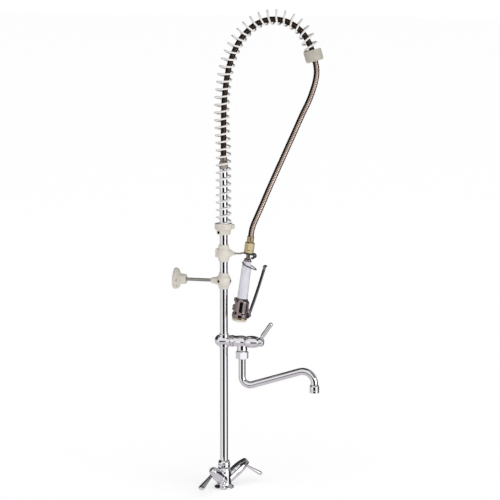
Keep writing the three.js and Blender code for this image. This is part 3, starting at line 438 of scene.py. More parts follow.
SLOTS = {                                           # the record's finish for each material
    CHROME: "chrome", STEEL: "steel", DARK_WIRE: "steel", BLACK_SCREW: "steel", ROD_STEEL: "steel",
    BRASS: "brass", NICKEL: "nickel", DARK_NICKEL: "dark_nickel", LEVER_METAL: "dark_nickel",
    CREAM: "cream_plastic", WALL_CREAM: "cream_plastic", SHADED_CREAM: "cream_plastic", COAT: "spring_coat",
    GRIP: "grip_plastic", PALE_RUBBER: "pale_rubber", HOSE_METAL: "hose_braid",
}


# ---------------------------------------------------------------- shapes, in millimetres

GRUB_R = 2.6
GRUB_HOLE_R = 2.9
INSERT_BORE = 2.66
INSERT_R = 3.5
INSERT_HOLE_R = 3.54


def soften(profile, radius, steps=3):
    """The profile with its corners rounded. A profile that ends where it starts is a loop."""
    closed = (Vector(profile[0]) - Vector(profile[-1])).length < 1e-6
    points = [Vector(p) for p in (profile[:-1] if closed else profile)]
    count = len(points)
    result = []
    for i, point in enumerate(points):
        if not closed and i in (0, count - 1):
            result.append(point)
            continue
        before = points[i - 1] - point
        after = points[(i + 1) % count] - point
        bend = math.pi - before.angle(after)
        reach = min(radius, 0.45 * before.length, 0.45 * after.length)
        if bend < math.radians(9):
            result.append(point)
            continue
        start = point + before.normalized() * reach
        end = point + after.normalized() * reach
        for k in range(steps + 1):
            t = k / steps
            result.append(start * (1 - t) ** 2 + point * 2 * t * (1 - t) + end * t * t)
    if closed:
        result.append(result[0].copy())
    return [tuple(p) for p in result]


def loft(rings, closed=False):
    """A skin over rings of equal count; a ring of one point is a pole."""
    bm = bmesh.new()
    rows = [[bm.verts.new(p) for p in ring] for ring in rings]
    if closed:
        rows.append(rows[0])
    for a, b in zip(rows, rows[1:]):
        count = max(len(a), len(b))
        for i in range(count):
            j = (i + 1) % count
            if len(a) == 1:
                bm.faces.new((a[0], b[j], b[i]))
            elif len(b) == 1:
                bm.faces.new((a[i], a[j], b[0]))
            else:
                bm.faces.new((a[i], a[j], b[j], b[i]))
    if not closed:
        for ring in (rows[0], rows[-1]):
            if len(ring) > 2:
                bm.faces.new(ring)
    bmesh.ops.recalc_face_normals(bm, faces=bm.faces)
    return bm


def held(profile, reach=0.4):
    """The profile with a point close to each end of its long runs, so that they shade straight."""
    result = [profile[0]]
    for a, b in zip(profile, profile[1:]):
        start, end = Vector(a), Vector(b)
        run = (end - start).length
        if run > 6 * reach:
            result.append(tuple(start.lerp(end, reach / run)))
            result.append(tuple(end.lerp(start, reach / run)))
        result.append(b)
    return result


def circle(sides, radius=1.0):
    """Points evenly round a circle."""
    angles = [2 * math.pi * k / sides for k in range(sides)]
    return [(radius * math.cos(a), radius * math.sin(a)) for a in angles]


def prism(outline, bottom, top):
    return loft([[(x, y, z) for x, y in outline] for z in (bottom, top)])


def lathe(profile, sides=56, rounding=0.5):
    """A turned shape about Z. Each profile point is (radius, height)."""
    profile = held(soften(profile, rounding) if rounding else profile)
    closed = (Vector(profile[0]) - Vector(profile[-1])).length < 1e-6
    rings = []
    for radius, height in profile[:-1] if closed else profile:
        if radius < 1e-6 and rings and len(rings[-1]) == 1:
            continue
        if radius < 1e-6:
            rings.append([(0, 0, height)])
            continue
        rings.append([(x, y, height) for x, y in circle(sides, radius)])
    return loft(rings, closed)


def ring_shape(inner, outer, bottom, top, sides=56, rounding=0.5):
    corners = [(inner, bottom), (outer, bottom), (outer, top), (inner, top), (inner, bottom)]
    return lathe(corners, sides, rounding)


def rod_shape(radius, bottom, top, sides=32, rounding=0.4):
    return lathe([(0, bottom), (radius, bottom), (radius, top), (0, top)], sides, rounding)


def rounded_tip(points, radii, rounding):
    """The path with its first point replaced by the stations of a rounded tip."""
    away = (points[0] - points[1]).normalized()
    base = points[0] - away * rounding
    angles = [math.radians(degrees) for degrees in (85, 60, 30, 0)]
    tip = [base + away * rounding * math.sin(a) for a in angles]
    tip_radii = [radii[0] - rounding * (1 - math.cos(a)) for a in angles]
    return tip + points[1:], tip_radii + radii[1:]


def sweep(points, radius, sides=16, rounded=0.0, bore=0.0):
    """A round bar or pipe along a path. radius is a number, or one for each point."""
    points = [Vector(p) for p in points]
    radii = list(radius) if hasattr(radius, "__len__") else [radius] * len(points)
    if rounded:
        for _ in range(2):
            points, radii = rounded_tip(points, radii, rounded)
            points, radii = points[::-1], radii[::-1]
    tangents = []
    for i in range(len(points)):
        step = points[min(i + 1, len(points) - 1)] - points[max(i - 1, 0)]
        tangents.append(step.normalized())
    side = tangents[0].orthogonal().normalized()
    rings, bores = [], []
    for point, tangent, r in zip(points, tangents, radii):
        side = (side - tangent * side.dot(tangent)).normalized()
        other = tangent.cross(side)
        spokes = [side * c + other * s for c, s in circle(sides)]
        rings.append([point + spoke * r for spoke in spokes])
        bores.append([point + spoke * bore for spoke in spokes])
    if bore:
        return loft(rings + bores[::-1], closed=True)
    return loft(rings)


def block(size, centre, rounding):
    bm = bmesh.new()
    bmesh.ops.create_cube(bm, size=1)
    bmesh.ops.scale(bm, vec=size, verts=bm.verts)
    bmesh.ops.translate(bm, vec=centre, verts=bm.verts)
    if rounding:
        bmesh.ops.bevel(bm, geom=bm.edges[:], offset=rounding, segments=3, profile=0.5, affect="EDGES")
    return bm


def moved(bm, matrix):
    bm.transform(matrix)
    return bm


def shift(x=0.0, y=0.0, z=0.0):
    return Matrix.Translation((x, y, z))


def turn(degrees, axis):
    return Matrix.Rotation(math.radians(degrees), 4, axis)


def as_object(bm):
    mesh = bpy.data.meshes.new("shape")
    bm.to_mesh(mesh)
    bm.free()
    holder = bpy.data.objects.new("shape", mesh)
    bpy.context.scene.collection.objects.link(holder)
    return holder


def evaluated(holder, helpers=()):
    """The holder's shape with its modifiers applied; the holders are deleted."""
    bpy.context.view_layer.update()
    graph = bpy.context.evaluated_depsgraph_get()
    mesh = bpy.data.meshes.new_from_object(holder.evaluated_get(graph))
    result = bmesh.new()
    result.from_mesh(mesh)
    bpy.data.meshes.remove(mesh)
    for item in (holder, *helpers):
        bpy.data.meshes.remove(item.data)
    return result


def combine(operation, first, others):
    holder = as_object(first)
    helpers = [as_object(other) for other in others]
    for helper in helpers:
        modifier = holder.modifiers.new("combine", "BOOLEAN")
        modifier.operation = operation
        modifier.solver = "EXACT"
        modifier.object = helper
    return evaluated(holder, helpers)


def union(first, *others):
    return combine("UNION", first, others)


def carve(first, *others):
    return combine("DIFFERENCE", first, others)


def cast(bm, voxel, passes):
    """One skin over everything, with the inside corners filled as in a moulding."""
    holder = as_object(bm)
    remesh = holder.modifiers.new("skin", "REMESH")
    remesh.mode = "VOXEL"
    remesh.voxel_size = voxel
    smooth = holder.modifiers.new("smooth", "SMOOTH")
    smooth.factor = 0.5
    smooth.iterations = passes
    return evaluated(holder)


def hex_shape(corner, bottom, top, chamfer=1.4):
    """A nut's outside: a hexagon with its corners turned off at both ends."""
    flat = corner * math.cos(math.pi / 6)
    turned = lathe([
        (0, bottom), (flat - 0.3, bottom), (corner + 0.2, bottom + chamfer), (corner + 0.2, top - chamfer),
        (flat - 0.3, top), (0, top),
    ], 72, 0)
    return combine("INTERSECT", prism(circle(6, corner), bottom, top), [turned])


def socket_screw(radius, length, key):
    """A grub screw with a hexagonal socket in its top, which is at height zero."""
    body = lathe([(0, -length), (radius - 0.6, -length), (radius, -length + 0.7), (radius, -0.5),
                  (radius - 0.4, 0), (0, 0)], 28, 0.15)
    return carve(body, prism(circle(6, key), -0.55 * length, 1))


def screw_hole(top):
    """What a clamp loses to a grub screw and, in its outer part, to the insert round it."""
    return union(rod_shape(GRUB_HOLE_R, 9.5, top, 28, 0), rod_shape(INSERT_HOLE_R, 14, top, 28, 0))


def thread_insert(top):
    """The black insert that a clamp's grub screw runs in, flush with the plastic at its top."""
    return ring_shape(INSERT_BORE, INSERT_R, top - 4, top, 28, 0.15)


def piece(name, bm, material, body, nodes, at=None, sharp=32, slot=None):
    """Writes a shape into the frame, riding on its body and standing for its CAD nodes."""
    bm.transform(Matrix.Scale(MM, 4) @ (at or Matrix()))
    bmesh.ops.recalc_face_normals(bm, faces=bm.faces)
    mesh = bpy.data.meshes.new(name)
    bm.to_mesh(mesh)
    bm.free()
    mesh.materials.append(material)
    mesh.shade_smooth()
    mesh.set_sharp_from_angle(angle=math.radians(sharp))
    made = bpy.data.objects.new(name, mesh)
    bpy.context.scene.collection.objects.link(made)
    if nodes:
        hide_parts(*nodes)
    if body:
        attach(made, body)
    slot or SLOTS[material]
    return made


def add_grub_screw(name, node, at, seat, length=6):
    """A clamp's grub screw, its top at a distance of seat from the riser's axis."""
    screw = socket_screw(GRUB_R, length, 1.5)
    piece(name, screw, BLACK_SCREW, STAND, [node], at @ shift(0, 0, seat))


def add_insert(name, at, top):
    piece(name, thread_insert(top), BLACK_SCREW, STAND, [], at)


# ---------------------------------------------------------------- hose and spring

# The hose's centreline as [forward of the riser, height]: the same points as in the CAD model.
HOSE_ROUTE = [
    (0, HOSE_START_Z), (0, 875), (0.2, 912), (0.9, 950), (3, 986), (7, 1021), (13.8, 1057), (24.4, 1090),
    (39.8, 1121), (60.6, 1147), (86, 1166.5), (114.5, 1176.2), (144, 1176), (172, 1167),
    (195, 1150.5), (211.5, 1129), (221.7, 1107.5), (228.2, 1087.5), (233.2, 1069), (235, 1054),
    (233.8, 1038), (228, 1014), (215.5, 980), (200, 948), (177, 897), (154, 846.5), (131, 796),
    (112.5, 754.5), (96.8, 718), (83.8, 689), (76.4, 672), (71.9, 656.8), (69.94, 642.85),
]
HOSE_R = 7.25
SPRING_R = 17.3
SPRING_WIRE_R = 2.3
SPRING_PITCH = 18.5
SPRING_SHIFT = 5.6
COLLAR_CUP_Z = 664.5
TOP_COLLAR_MIDDLE = 537                             # along the hose, as is PAST_COLLAR
PAST_COLLAR = 22


def centripetal(points, per_step=16):
    """Points close together on the centripetal Catmull-Rom curve through the given ones."""
    ends = [points[0] * 2 - points[1], *points, points[-1] * 2 - points[-2]]
    dense = [points[0]]
    for a, b, c, d in zip(ends, ends[1:], ends[2:], ends[3:]):
        ta, tb, tc = (math.sqrt((q - p).length) for p, q in ((a, b), (b, c), (c, d)))
        leave = ((b - a) / ta - (c - a) / (ta + tb) + (c - b) / tb) * tb
        arrive = ((c - b) / tb - (d - b) / (tb + tc) + (d - c) / tc) * tb
        for k in range(1, per_step + 1):
            t = k / per_step
            dense.append(b + leave * t + (c * 3 - b * 3 - leave * 2 - arrive) * t ** 2
                         + (b * 2 - c * 2 + leave + arrive) * t ** 3)
    return dense


class Route:
    """A path measured along its length, in millimetres."""

    def __init__(self, points):
        self.points = points
        self.lengths = [0.0]
        for p, q in zip(points, points[1:]):
            self.lengths.append(self.lengths[-1] + (q - p).length)
        self.total = self.lengths[-1]

    def at(self, length):
        """The point and the direction of the path at a length from its start."""
        length = min(max(length, 0.0), self.total)
        index = min(bisect_right(self.lengths, length), len(self.lengths) - 1) - 1
        span = self.lengths[index + 1] - self.lengths[index]
        share = (length - self.lengths[index]) / span
        ahead = self.points[min(index + 2, len(self.points) - 1)] - self.points[max(index - 1, 0)]
        return self.points[index].lerp(self.points[index + 1], share), ahead.normalized()


hose_route = Route(centripetal([Vector((0, -ahead, height)) for ahead, height in HOSE_ROUTE]))


def smooth_step(x):
    t = min(max(x, 0.0), 1.0)
    return t * t * (3 - 2 * t)


def spring_frame(length):
    """Centre, direction, outward and side of the coil at a length from the hose's start."""
    centre, along = hose_route.at(length)
    if length <= 0:
        centre, along = Vector((0, 0, HOSE_START_Z + length)), UP.copy()
    outward = along.cross(Vector((1, 0, 0)))
    offset = SPRING_SHIFT * smooth_step(length / 120) * smooth_step((TOP_COLLAR_MIDDLE - 16 - length) / 70)
    return centre + outward * offset, along, outward, along.cross(outward)


def add_hose():
    """Interlocked strip hose: one rounded crest for every turn of the strip."""
    pitch, depth, per_crest = 4.4, 0.95, 7
    count = int(hose_route.total / pitch * per_crest)
    lengths = [hose_route.total * i / count for i in range(count + 1)]
    points = [hose_route.at(length)[0] for length in lengths]
    radii = [HOSE_R - depth * (1 - abs(math.sin(math.pi * length / pitch))) for length in lengths]
    hose = piece("hose_skin", sweep(points, radii, 20), HOSE_METAL, None, ["hose"], sharp=75)
    start = hose_route.at(TOP_COLLAR_MIDDLE + PAST_COLLAR)[0]
    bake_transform(hose)
    stations = 200
    path = [hose_route.at(hose_route.total * i / stations)[0] * MM for i in range(stations + 1)]
    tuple(path[0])


def add_spring():
    per_turn = 22
    start = COLLAR_CUP_Z + SPRING_WIRE_R + 1.4 - HOSE_START_Z
    end = TOP_COLLAR_MIDDLE - 4
    turns = (end - start) / SPRING_PITCH
    count = round(turns * per_turn)
    points = []
    for i in range(count + 1):
        centre, _, outward, side = spring_frame(start + (end - start) * i / count)
        angle = 2 * math.pi * turns * i / count
        points.append(centre + (outward * math.cos(angle) + side * math.sin(angle)) * SPRING_R)
    coil = sweep(points, SPRING_WIRE_R, 14, rounded=1.4)
    piece("spring_coil", coil, COAT, STAND, ["spring"], sharp=60)


add_hose()
add_spring()


# ---------------------------------------------------------------- riser and its nuts

RISER_R = high("upper_riser").x
RISER_WALL = 1.5
SOCKET_R = RISER_R + 0.3


def add_risers():
    for node in ("lower_riser", "upper_riser"):
        pipe = ring_shape(RISER_R - RISER_WALL, RISER_R, low(node).z, high(node).z, 64, 0.3)
        piece(node + "_pipe", pipe, CHROME, STAND, [node])
    bottom, top = low("riser_hose_nut").z, high("riser_hose_nut").z
    nut = carve(hex_shape(11.2, bottom, top, 1.2), rod_shape(5.4, bottom - 5, top + 5))
    piece("hose_nut_upper", nut, NICKEL, STAND, ["riser_hose_nut"])
    bottom, top = low("hose_ferrule_riser").z, high("hose_ferrule_riser").z
    piece("hose_ferrule_upper", ferrule_shape(bottom, top), NICKEL, STAND, ["hose_ferrule_riser"])


def ferrule_shape(bottom, top):
    """A crimped sleeve with three rolled grooves."""
    outer = 8.9
    profile = [(4.8, bottom), (outer - 0.5, bottom)]
    for k in range(3):
        at = bottom + (top - bottom) * (k + 1) / 4
        profile += [(outer, at - 1.6), (outer, at - 0.9), (outer - 0.9, at), (outer, at + 0.9)]
    profile += [(outer, top - 0.8), (outer - 0.6, top), (4.8, top), (4.8, bottom)]
    return lathe(profile, 48, 0.3)


add_risers()


# ---------------------------------------------------------------- mixer base

BASE_FLANGE_R = 25.0
ARM_R = 14.5
ARM_LENGTH = 38.2
BASE_TOP_Z = low("riser_nut").z - 0.3
RISER_NUT_TOP_Z = high("riser_nut").z
HUB_START = 38.6
HUB_END = 82
BLADE_SPLAY = 25
BLADE_LENGTH = 52
BLADE_FLATNESS = 0.68
REST_TURN = {"hot": -13, "cold": 0}
ARM_BEARINGS = {"hot": 171, "cold": -41}


def arm_frame(side):
    """Z runs out along a valve arm, and X points down square to it."""
    axis = Vector(joints[side + "_lever_turn"]["axis"])
    level = Vector((axis.x, axis.y, 0)).normalized()
    across = UP.cross(level)
    down = across.cross(axis)
    basis = Matrix((down, across, axis)).transposed().to_4x4()
    return Matrix.Translation(pivot(side + "_lever_turn")) @ basis


def add_base_body():
    barrel = lathe([
        (0, 0), (BASE_FLANGE_R - 0.8, 0), (BASE_FLANGE_R, 0.8), (BASE_FLANGE_R, 2.6),
        (BASE_FLANGE_R - 1.2, 4.4), (21.4, 5.6), (19.2, 7.8), (18.2, 11.5), (18, 16), (18, 38),
        (17.7, 43), (16.6, 48.5), (15.8, 51), (15.2, BASE_TOP_Z), (0, BASE_TOP_Z),
    ], 72, 0.9)
    arm_profile = [
        (0, 0), (ARM_R, 0), (ARM_R, 33.4), (ARM_R - 0.7, 34.2), (ARM_R - 0.7, 35), (ARM_R, 35.8),
        (ARM_R, ARM_LENGTH), (0, ARM_LENGTH),
    ]
    arms = [moved(lathe(arm_profile, 56, 0.35), arm_frame(side)) for side in ARM_BEARINGS]
    body = union(barrel, *arms)
    gasket_groove = ring_shape(20, 23.6, -1, 1.5, 56, 0)
    cutters = [gasket_groove, rod_shape(SOCKET_R, BASE_TOP_Z - 14, BASE_TOP_Z + 1, 48)]
    for side, bearing in ARM_BEARINGS.items():
        cutters.append(moved(rod_shape(11.3, 13, ARM_LENGTH + 1, 40), arm_frame(side)))
        cutters.append(moved(rod_shape(4.2, -1, 12, 24), turn(bearing, "Z") @ shift(13.4)))
    stud_bearing = sum(ARM_BEARINGS.values()) / 2
    cutters.append(moved(rod_shape(3, -1, 11, 24), turn(stud_bearing, "Z") @ shift(14)))
    piece("mixer_body", carve(body, *cutters), CHROME, STAND, ["base_body"], sharp=28)


def add_riser_nut():
    r = 15.3
    bottom = BASE_TOP_Z + 0.3
    profile = [
        (SOCKET_R, bottom), (r - 0.9, bottom), (r - 0.9, bottom + 1.2), (r, bottom + 2), (r, 60.5),
        (r - 0.7, 61.4), (r, 62.3), (r - 0.4, 66.2), (r - 1.6, 68.6), (r - 2.6, RISER_NUT_TOP_Z),
        (SOCKET_R + 0.2, RISER_NUT_TOP_Z), (SOCKET_R, RISER_NUT_TOP_Z - 0.8), (SOCKET_R, bottom),
    ]
    piece("riser_union_nut", lathe(profile, 64, 0.45), CHROME, STAND, ["riser_nut"])


def blade_shape():
    """A lever blade along X: a flattened cone that widens to its rounded tip."""
    cone = lathe([
        (0, -2), (4.2, -2), (4.5, 8), (5.0, 18), (5.8, 28), (6.8, 38), (7.6, BLADE_LENGTH - 6),
        (7.9, BLADE_LENGTH - 2), (7.5, BLADE_LENGTH + 0.6), (6.2, BLADE_LENGTH + 1.7),
        (3, BLADE_LENGTH + 2), (0, BLADE_LENGTH + 2),
    ], 40, 1.2)
    return moved(cone, Matrix.Diagonal((1, 1, BLADE_FLATNESS, 1)) @ turn(90, "Y"))


def add_lever(side):
    hub = lathe([
        (0, HUB_START), (ARM_R - 0.3, HUB_START), (ARM_R + 0.2, HUB_START + 1.2), (ARM_R + 0.3, 45),
        (ARM_R, 55), (13.5, 64), (12, 72), (10.2, 78.5), (8.6, 81.4), (7.6, HUB_END), (0, HUB_END),
    ], 56, 0.6)
    blade = moved(blade_shape(), shift(8.5, 0, 73) @ turn(-BLADE_SPLAY, "Y"))
    skirt = rod_shape(12, HUB_START - 1, 55, 40, 0)
    screw_well = rod_shape(6.3, 68, HUB_END + 1, 40, 0)
    spindle_hole = rod_shape(4.4, 54, 69, 32, 0)
    lever = carve(union(hub, blade), skirt, screw_well, spindle_hole)
    name = side + "_lever"
    body = side + "_lever_body"
    place_at = arm_frame(side)
    turned = place_at @ turn(REST_TURN[side], "Z")
    piece(name + "_handle", lever, CHROME, body, [name], turned, 30)
    cap = lathe([(0, 76.5), (5.9, 76.5), (6.0, 81.2), (5.2, 82.7), (3.2, 83.6), (0, 83.9)], 40, 0.4)
    piece(side + "_cap", cap, CHROME, body, [side + "_index_cap"], place_at)


add_base_body()
add_riser_nut()
for arm in ARM_BEARINGS:
    add_lever(arm)


# ---------------------------------------------------------------- spout valve and spout

VALVE_Z = pivot("spout_lever_turn").z
OUTLET = pivot("spout_swing")
SPOUT_LEVER_RISE = 54.8
SPOUT_R = 9.0
NOZZLE_Y = middle("aerator_housing").y
NOZZLE_TOP_Z = high("aerator_housing").z
NOZZLE_BOTTOM_Z = low("aerator_housing").z
SPOUT_BEND_R = 20
SPOUT_LOW_Z = 267.6
SPOUT_SLOPE = 18
GOOSENECK_R = 29

facing = shift(0, 0, VALVE_Z) @ turn(90, "X")      # +Z of a turned piece points forward


def add_spout_tee():
    ball = moved(lathe([
        (0, -23.4), (5, -22.9), (9.5, -20.6), (13, -16.4), (14.9, -11), (15.2, -7), (14.4, -1), (13, 4),
        (12.5, 8), (13.2, 12.5), (14.2, 16.5), (14.2, 19), (0, 19),
    ], 64, 1.2), facing)
    collars = rod_shape(11.9, VALVE_Z - 17.5, VALVE_Z + 17.5, 56, 1.2)
    tee = cast(union(ball, collars), 0.55, 5)
    bore = rod_shape(SOCKET_R, VALVE_Z - 18.5, VALVE_Z + 18.5, 48, 0)
    piece("spout_tee_body", carve(tee, bore), CHROME, STAND, ["spout_tee"], sharp=40)
    nut = [(9.4, 19.3), (13.2, 19.3), (14.7, 20.7), (14.7, 22), (14.1, 22.6), (14.7, 23.2), (14.7, 25),
           (13.8, 26), (9.4, 26), (9.4, 19.3)]
    piece("union_ring", lathe(nut, 64, 0.3), CHROME, STAND, ["tee_union_nut"], facing)


def add_valve_body():
    barrel = moved(lathe([
        (0, 26.3), (12.6, 26.3), (13.4, 27.4), (13.5, 34), (14.3, 41), (14.6, 47.2), (14.2, 52), (13.2, 55),
        (12.4, 56), (0, 56),
    ], 64, 0.7), facing)
    neck = moved(lathe([
        (0, 345), (11.6, 345), (11.6, 353.4), (12.8, 354.2), (13.2, 357), (12.8, 362), (12.8, 368),
        (13.4, 373), (13.4, VALVE_Z), (0, VALVE_Z),
    ], 64, 0.8), shift(0, OUTLET.y, 0))
    outlet = moved(rod_shape(SPOUT_R + 0.4, 344, 360, 48, 0), shift(0, OUTLET.y, 0))
    chamber = moved(rod_shape(10.4, 45, 57, 48, 0), facing)
    hole = moved(rod_shape(1.9, 9.8, 15, 20, 0), shift(0, OUTLET.y, 361) @ turn(90, "X"))
    body = carve(union(barrel, neck), outlet, chamber, hole)
    piece("valve_body_shell", body, CHROME, STAND, ["spout_valve_body"], sharp=30)
    screw = socket_screw(1.8, 3, 0.9)
    screw_at = shift(0, OUTLET.y - 12.2, 361) @ turn(90, "X")
    piece("neck_set_screw", screw, STEEL, STAND, [], screw_at)
    bonnet = lathe([
        (4.6, 80), (4.6, 90.4), (10.8, 90.4), (12.2, 88.2), (13.7, 84.5), (14.7, 79), (15.1, 73),
        (14.7, 66.5), (13.6, 60), (12.6, 57), (12, 56.4), (9.9, 56.4), (9.9, 50), (8.3, 50), (8.3, 80),
        (4.6, 80),
    ], 64, 0.7)
    piece("valve_bonnet", bonnet, CHROME, STAND, ["spout_bonnet"], facing)


def add_spout_nut():
    well = rod_shape(12, 341.5, 353, 48, 0)
    bore = rod_shape(SPOUT_R + 0.4, 333, 345, 48, 0)
    nut = carve(hex_shape(16.6, 334, 352, 1.8), well, bore)
    piece("spout_swing_nut", nut, CHROME, STAND, ["spout_nut"], shift(0, OUTLET.y, 0))


def add_spout_lever():
    body = "spout_lever_body"
    hub = lathe([
        (0, 90.8), (10.4, 90.8), (11, 91.6), (11, 97), (10.5, 99.6), (9, 102), (7.6, 102.8), (4.3, 102.8),
        (4.3, 99.4), (0, 99.4),
    ], 56, 0.5)
    piece("spout_knob", hub, CHROME, body, ["spout_lever_hub"], facing)
    rod_at = shift(0, -91.9, VALVE_Z + 4) @ turn(90 - SPOUT_LEVER_RISE, "X")
    rod = lathe([
        (0, 2), (3.4, 2), (3.4, 10.5), (4.6, 11.6), (5.3, 13.4), (5.6, 18), (5.6, 50.4), (5.1, 53),
        (3.9, 55), (2, 56), (0, 56.1),
    ], 40, 0.6)
    piece("spout_handle", rod, CHROME, body, ["spout_lever_rod"], rod_at)
    head = lathe([(0, 97), (3.9, 97), (3.9, 101.6), (3.4, 102.3), (0, 102.4)], 32, 0.3)
    screw = carve(head, block((6, 0.9, 1.6), (0, 0, 102.4), 0))
    piece("spout_knob_screw", screw, STEEL, body, ["spout_lever_screw"], facing)


def arc(centre, radius, start, end, steps):
    """Points [forward, height] on an arc, angles in degrees."""
    result = []
    for i in range(steps + 1):
        angle = math.radians(start + (end - start) * i / steps)
        result.append((centre[0] + radius * math.cos(angle), centre[1] + radius * math.sin(angle)))
    return result


def spout_path():
    """Down from the valve, round a bend, up a straight arm and over a gooseneck to the nozzle."""
    slope = math.radians(SPOUT_SLOPE)
    start = -OUTLET.y
    points = [(start, 356 - 4 * i) for i in range(17)]
    low_centre = (start + SPOUT_BEND_R, SPOUT_LOW_Z + SPOUT_BEND_R)
    points += arc(low_centre, SPOUT_BEND_R, 180, 270 + SPOUT_SLOPE, 16)
    arm_start = points[-1]
    top_ahead = -NOZZLE_Y - GOOSENECK_R
    arm_end_ahead = top_ahead - GOOSENECK_R * math.sin(slope)
    arm_end_z = arm_start[1] + (arm_end_ahead - arm_start[0]) * math.tan(slope)
    for k in range(1, 16):
        ahead = arm_start[0] + (arm_end_ahead - arm_start[0]) * (k / 16)
        height = arm_start[1] + (arm_end_z - arm_start[1]) * (k / 16)
        points.append((ahead, height))
    top_centre = (top_ahead, arm_end_z - GOOSENECK_R * math.cos(slope))
    points += arc(top_centre, GOOSENECK_R, 90 + SPOUT_SLOPE, 0, 20)
    points.append((-NOZZLE_Y, NOZZLE_TOP_Z - 6))
    return [Vector((0, -ahead, height)) for ahead, height in points]


def add_spout():
    body = "spout_body"
    pipe = sweep(spout_path(), SPOUT_R, 40, bore=7.6)
    piece("spout_pipe", pipe, CHROME, body, ["spout_tube"])
    bottom, top = NOZZLE_BOTTOM_Z, NOZZLE_TOP_Z
    housing = lathe([
        (10.2, bottom), (11.2, bottom), (12, bottom + 0.9), (12, bottom + 6), (11.5, bottom + 6.6),
        (12, bottom + 7.2), (12, top - 3), (11.2, top - 0.9), (10.2, top), (9.3, top), (9.3, top - 6.4),
        (7.5, top - 6.4), (7.5, bottom + 8.6), (10.2, bottom + 8.6), (10.2, bottom),
    ], 64, 0.4)
    at = shift(0, NOZZLE_Y, 0)
    piece("aerator_shell", housing, CHROME, body, ["aerator_housing"], at)
    screen = rod_shape(9.9, bottom + 0.8, bottom + 8.3, 48, 0.4)
    cells = [(2.9 * (i + 0.5 * (j % 2)), 2.5 * j) for i in range(-4, 5) for j in range(-4, 5)]
    drills = [moved(rod_shape(1.0, bottom - 1, bottom + 3, 8, 0), shift(x, y, 0))
              for x, y in cells if math.hypot(x, y) < 8.4]
    piece("aerator_screen", carve(screen, *drills), STEEL, body, ["aerator_insert"], at)


add_spout_tee()
add_valve_body()
add_spout_nut()
add_spout_lever()
add_spout()


# ---------------------------------------------------------------- plastic brackets

WALL_TEE_Z = middle("wall_rod").z
WALL_Y = high("wall_flange").y
HOOK_Z = 598.4
SIDE_SCREW_BEARING = 149
backward = turn(-90, "X")                           # +Z of a turned piece points to the wall


def add_wall_bracket():
    half = 20.5
    ball = moved(lathe([
        (0, -half), (12, -half), (12.4, -half + 3.5), (13.4, -13.5), (16, -9.5), (17.8, -5), (18.2, 0),
        (17.8, 5), (16, 9.5), (13.4, 13.5), (12.4, half - 3.5), (12, half), (0, half),
    ], 64, 1.4), shift(0, 0, WALL_TEE_Z))
    boss = moved(lathe([
        (0, 0), (12.4, 0), (11.2, 12), (10.2, 17), (8.7, 20), (8.4, 25.8), (7.6, 27.2), (7.2, 32.2),
        (0, 32.2),
    ], 56, 0.8), shift(0, 0, WALL_TEE_Z) @ backward)
    tee = cast(union(ball, boss), 0.6, 6)
    front = shift(0, 0, WALL_TEE_Z) @ turn(90, "X")
    toward_user = moved(screw_hole(22), front)
    sideways = shift(0, 0, WALL_TEE_Z) @ turn(SIDE_SCREW_BEARING, "Z") @ turn(90, "Y")
    aside = moved(screw_hole(22), sideways)
    bore = rod_shape(SOCKET_R, WALL_TEE_Z - half - 1, WALL_TEE_Z + half + 1, 48, 0)
    rod_hole = moved(rod_shape(4.3, 9, 33, 32, 0), shift(0, 0, WALL_TEE_Z) @ backward)
    tee = carve(tee, bore, toward_user, aside, rod_hole)
    piece("wall_clamp", tee, CREAM, STAND, ["wall_tee"], sharp=45)
    add_grub_screw("wall_clamp_screw_a", "wall_tee_riser_screw", front, 16.3)
    add_grub_screw("wall_clamp_screw_b", "wall_tee_side_screw", sideways, 16.3)
    add_insert("wall_clamp_insert_a", front, 18.5)
    add_insert("wall_clamp_insert_b", sideways, 18.5)
    rod = rod_shape(4, low("wall_rod").y, high("wall_rod").y, 36, 0.6)
    piece("wall_bar", rod, ROD_STEEL, STAND, ["wall_rod"], shift(0, 0, WALL_TEE_Z) @ backward,
          slot="chrome")


def add_wall_flange():
    """A shallow three-lobed bell with a hub for the rod."""
    radius, depth = 28.0, 10.3
    around = 96
    rows = []
    outline = ((0.86, 0), (0.96, 0.5), (0.995, 2.0), (1.0, 4.8), (0.985, 7.2), (0.945, 9.2), (0.88, depth),
               (0.76, depth + 0.3))
    for share, height in outline:
        ring = []
        for k in range(around):
            a = 2 * math.pi * k / around
            r = (radius - 1.4 + 1.4 * math.cos(3 * a)) * share
            ring.append((r * math.sin(a), r * math.cos(a), height))
        rows.append(ring)
    plate = loft(rows)
    hub = lathe([
        (0, 3), (21, 10), (17, 12.8), (14.8, 14.2), (13.4, 17), (12.8, 22), (12.4, 28.6), (11.4, 30.8),
        (0, 30.8),
    ], 64, 0.8)
    flange = cast(union(plate, hub), 0.7, 4)
    cutters = [rod_shape(4.3, 9.7, 32, 32, 0)]
    countersunk = [(0, -1), (2.5, -1), (2.5, 5.4), (4.6, 9), (4.6, 14), (0, 14)]
    for side in (-21.6, 21.6):
        cutters.append(moved(lathe(countersunk, 32, 0), shift(side)))
    at = shift(0, WALL_Y, WALL_TEE_Z) @ turn(90, "X")
    plate = carve(flange, *cutters)
    piece("wall_plate", plate, WALL_CREAM, STAND, ["wall_flange"], at, 45)


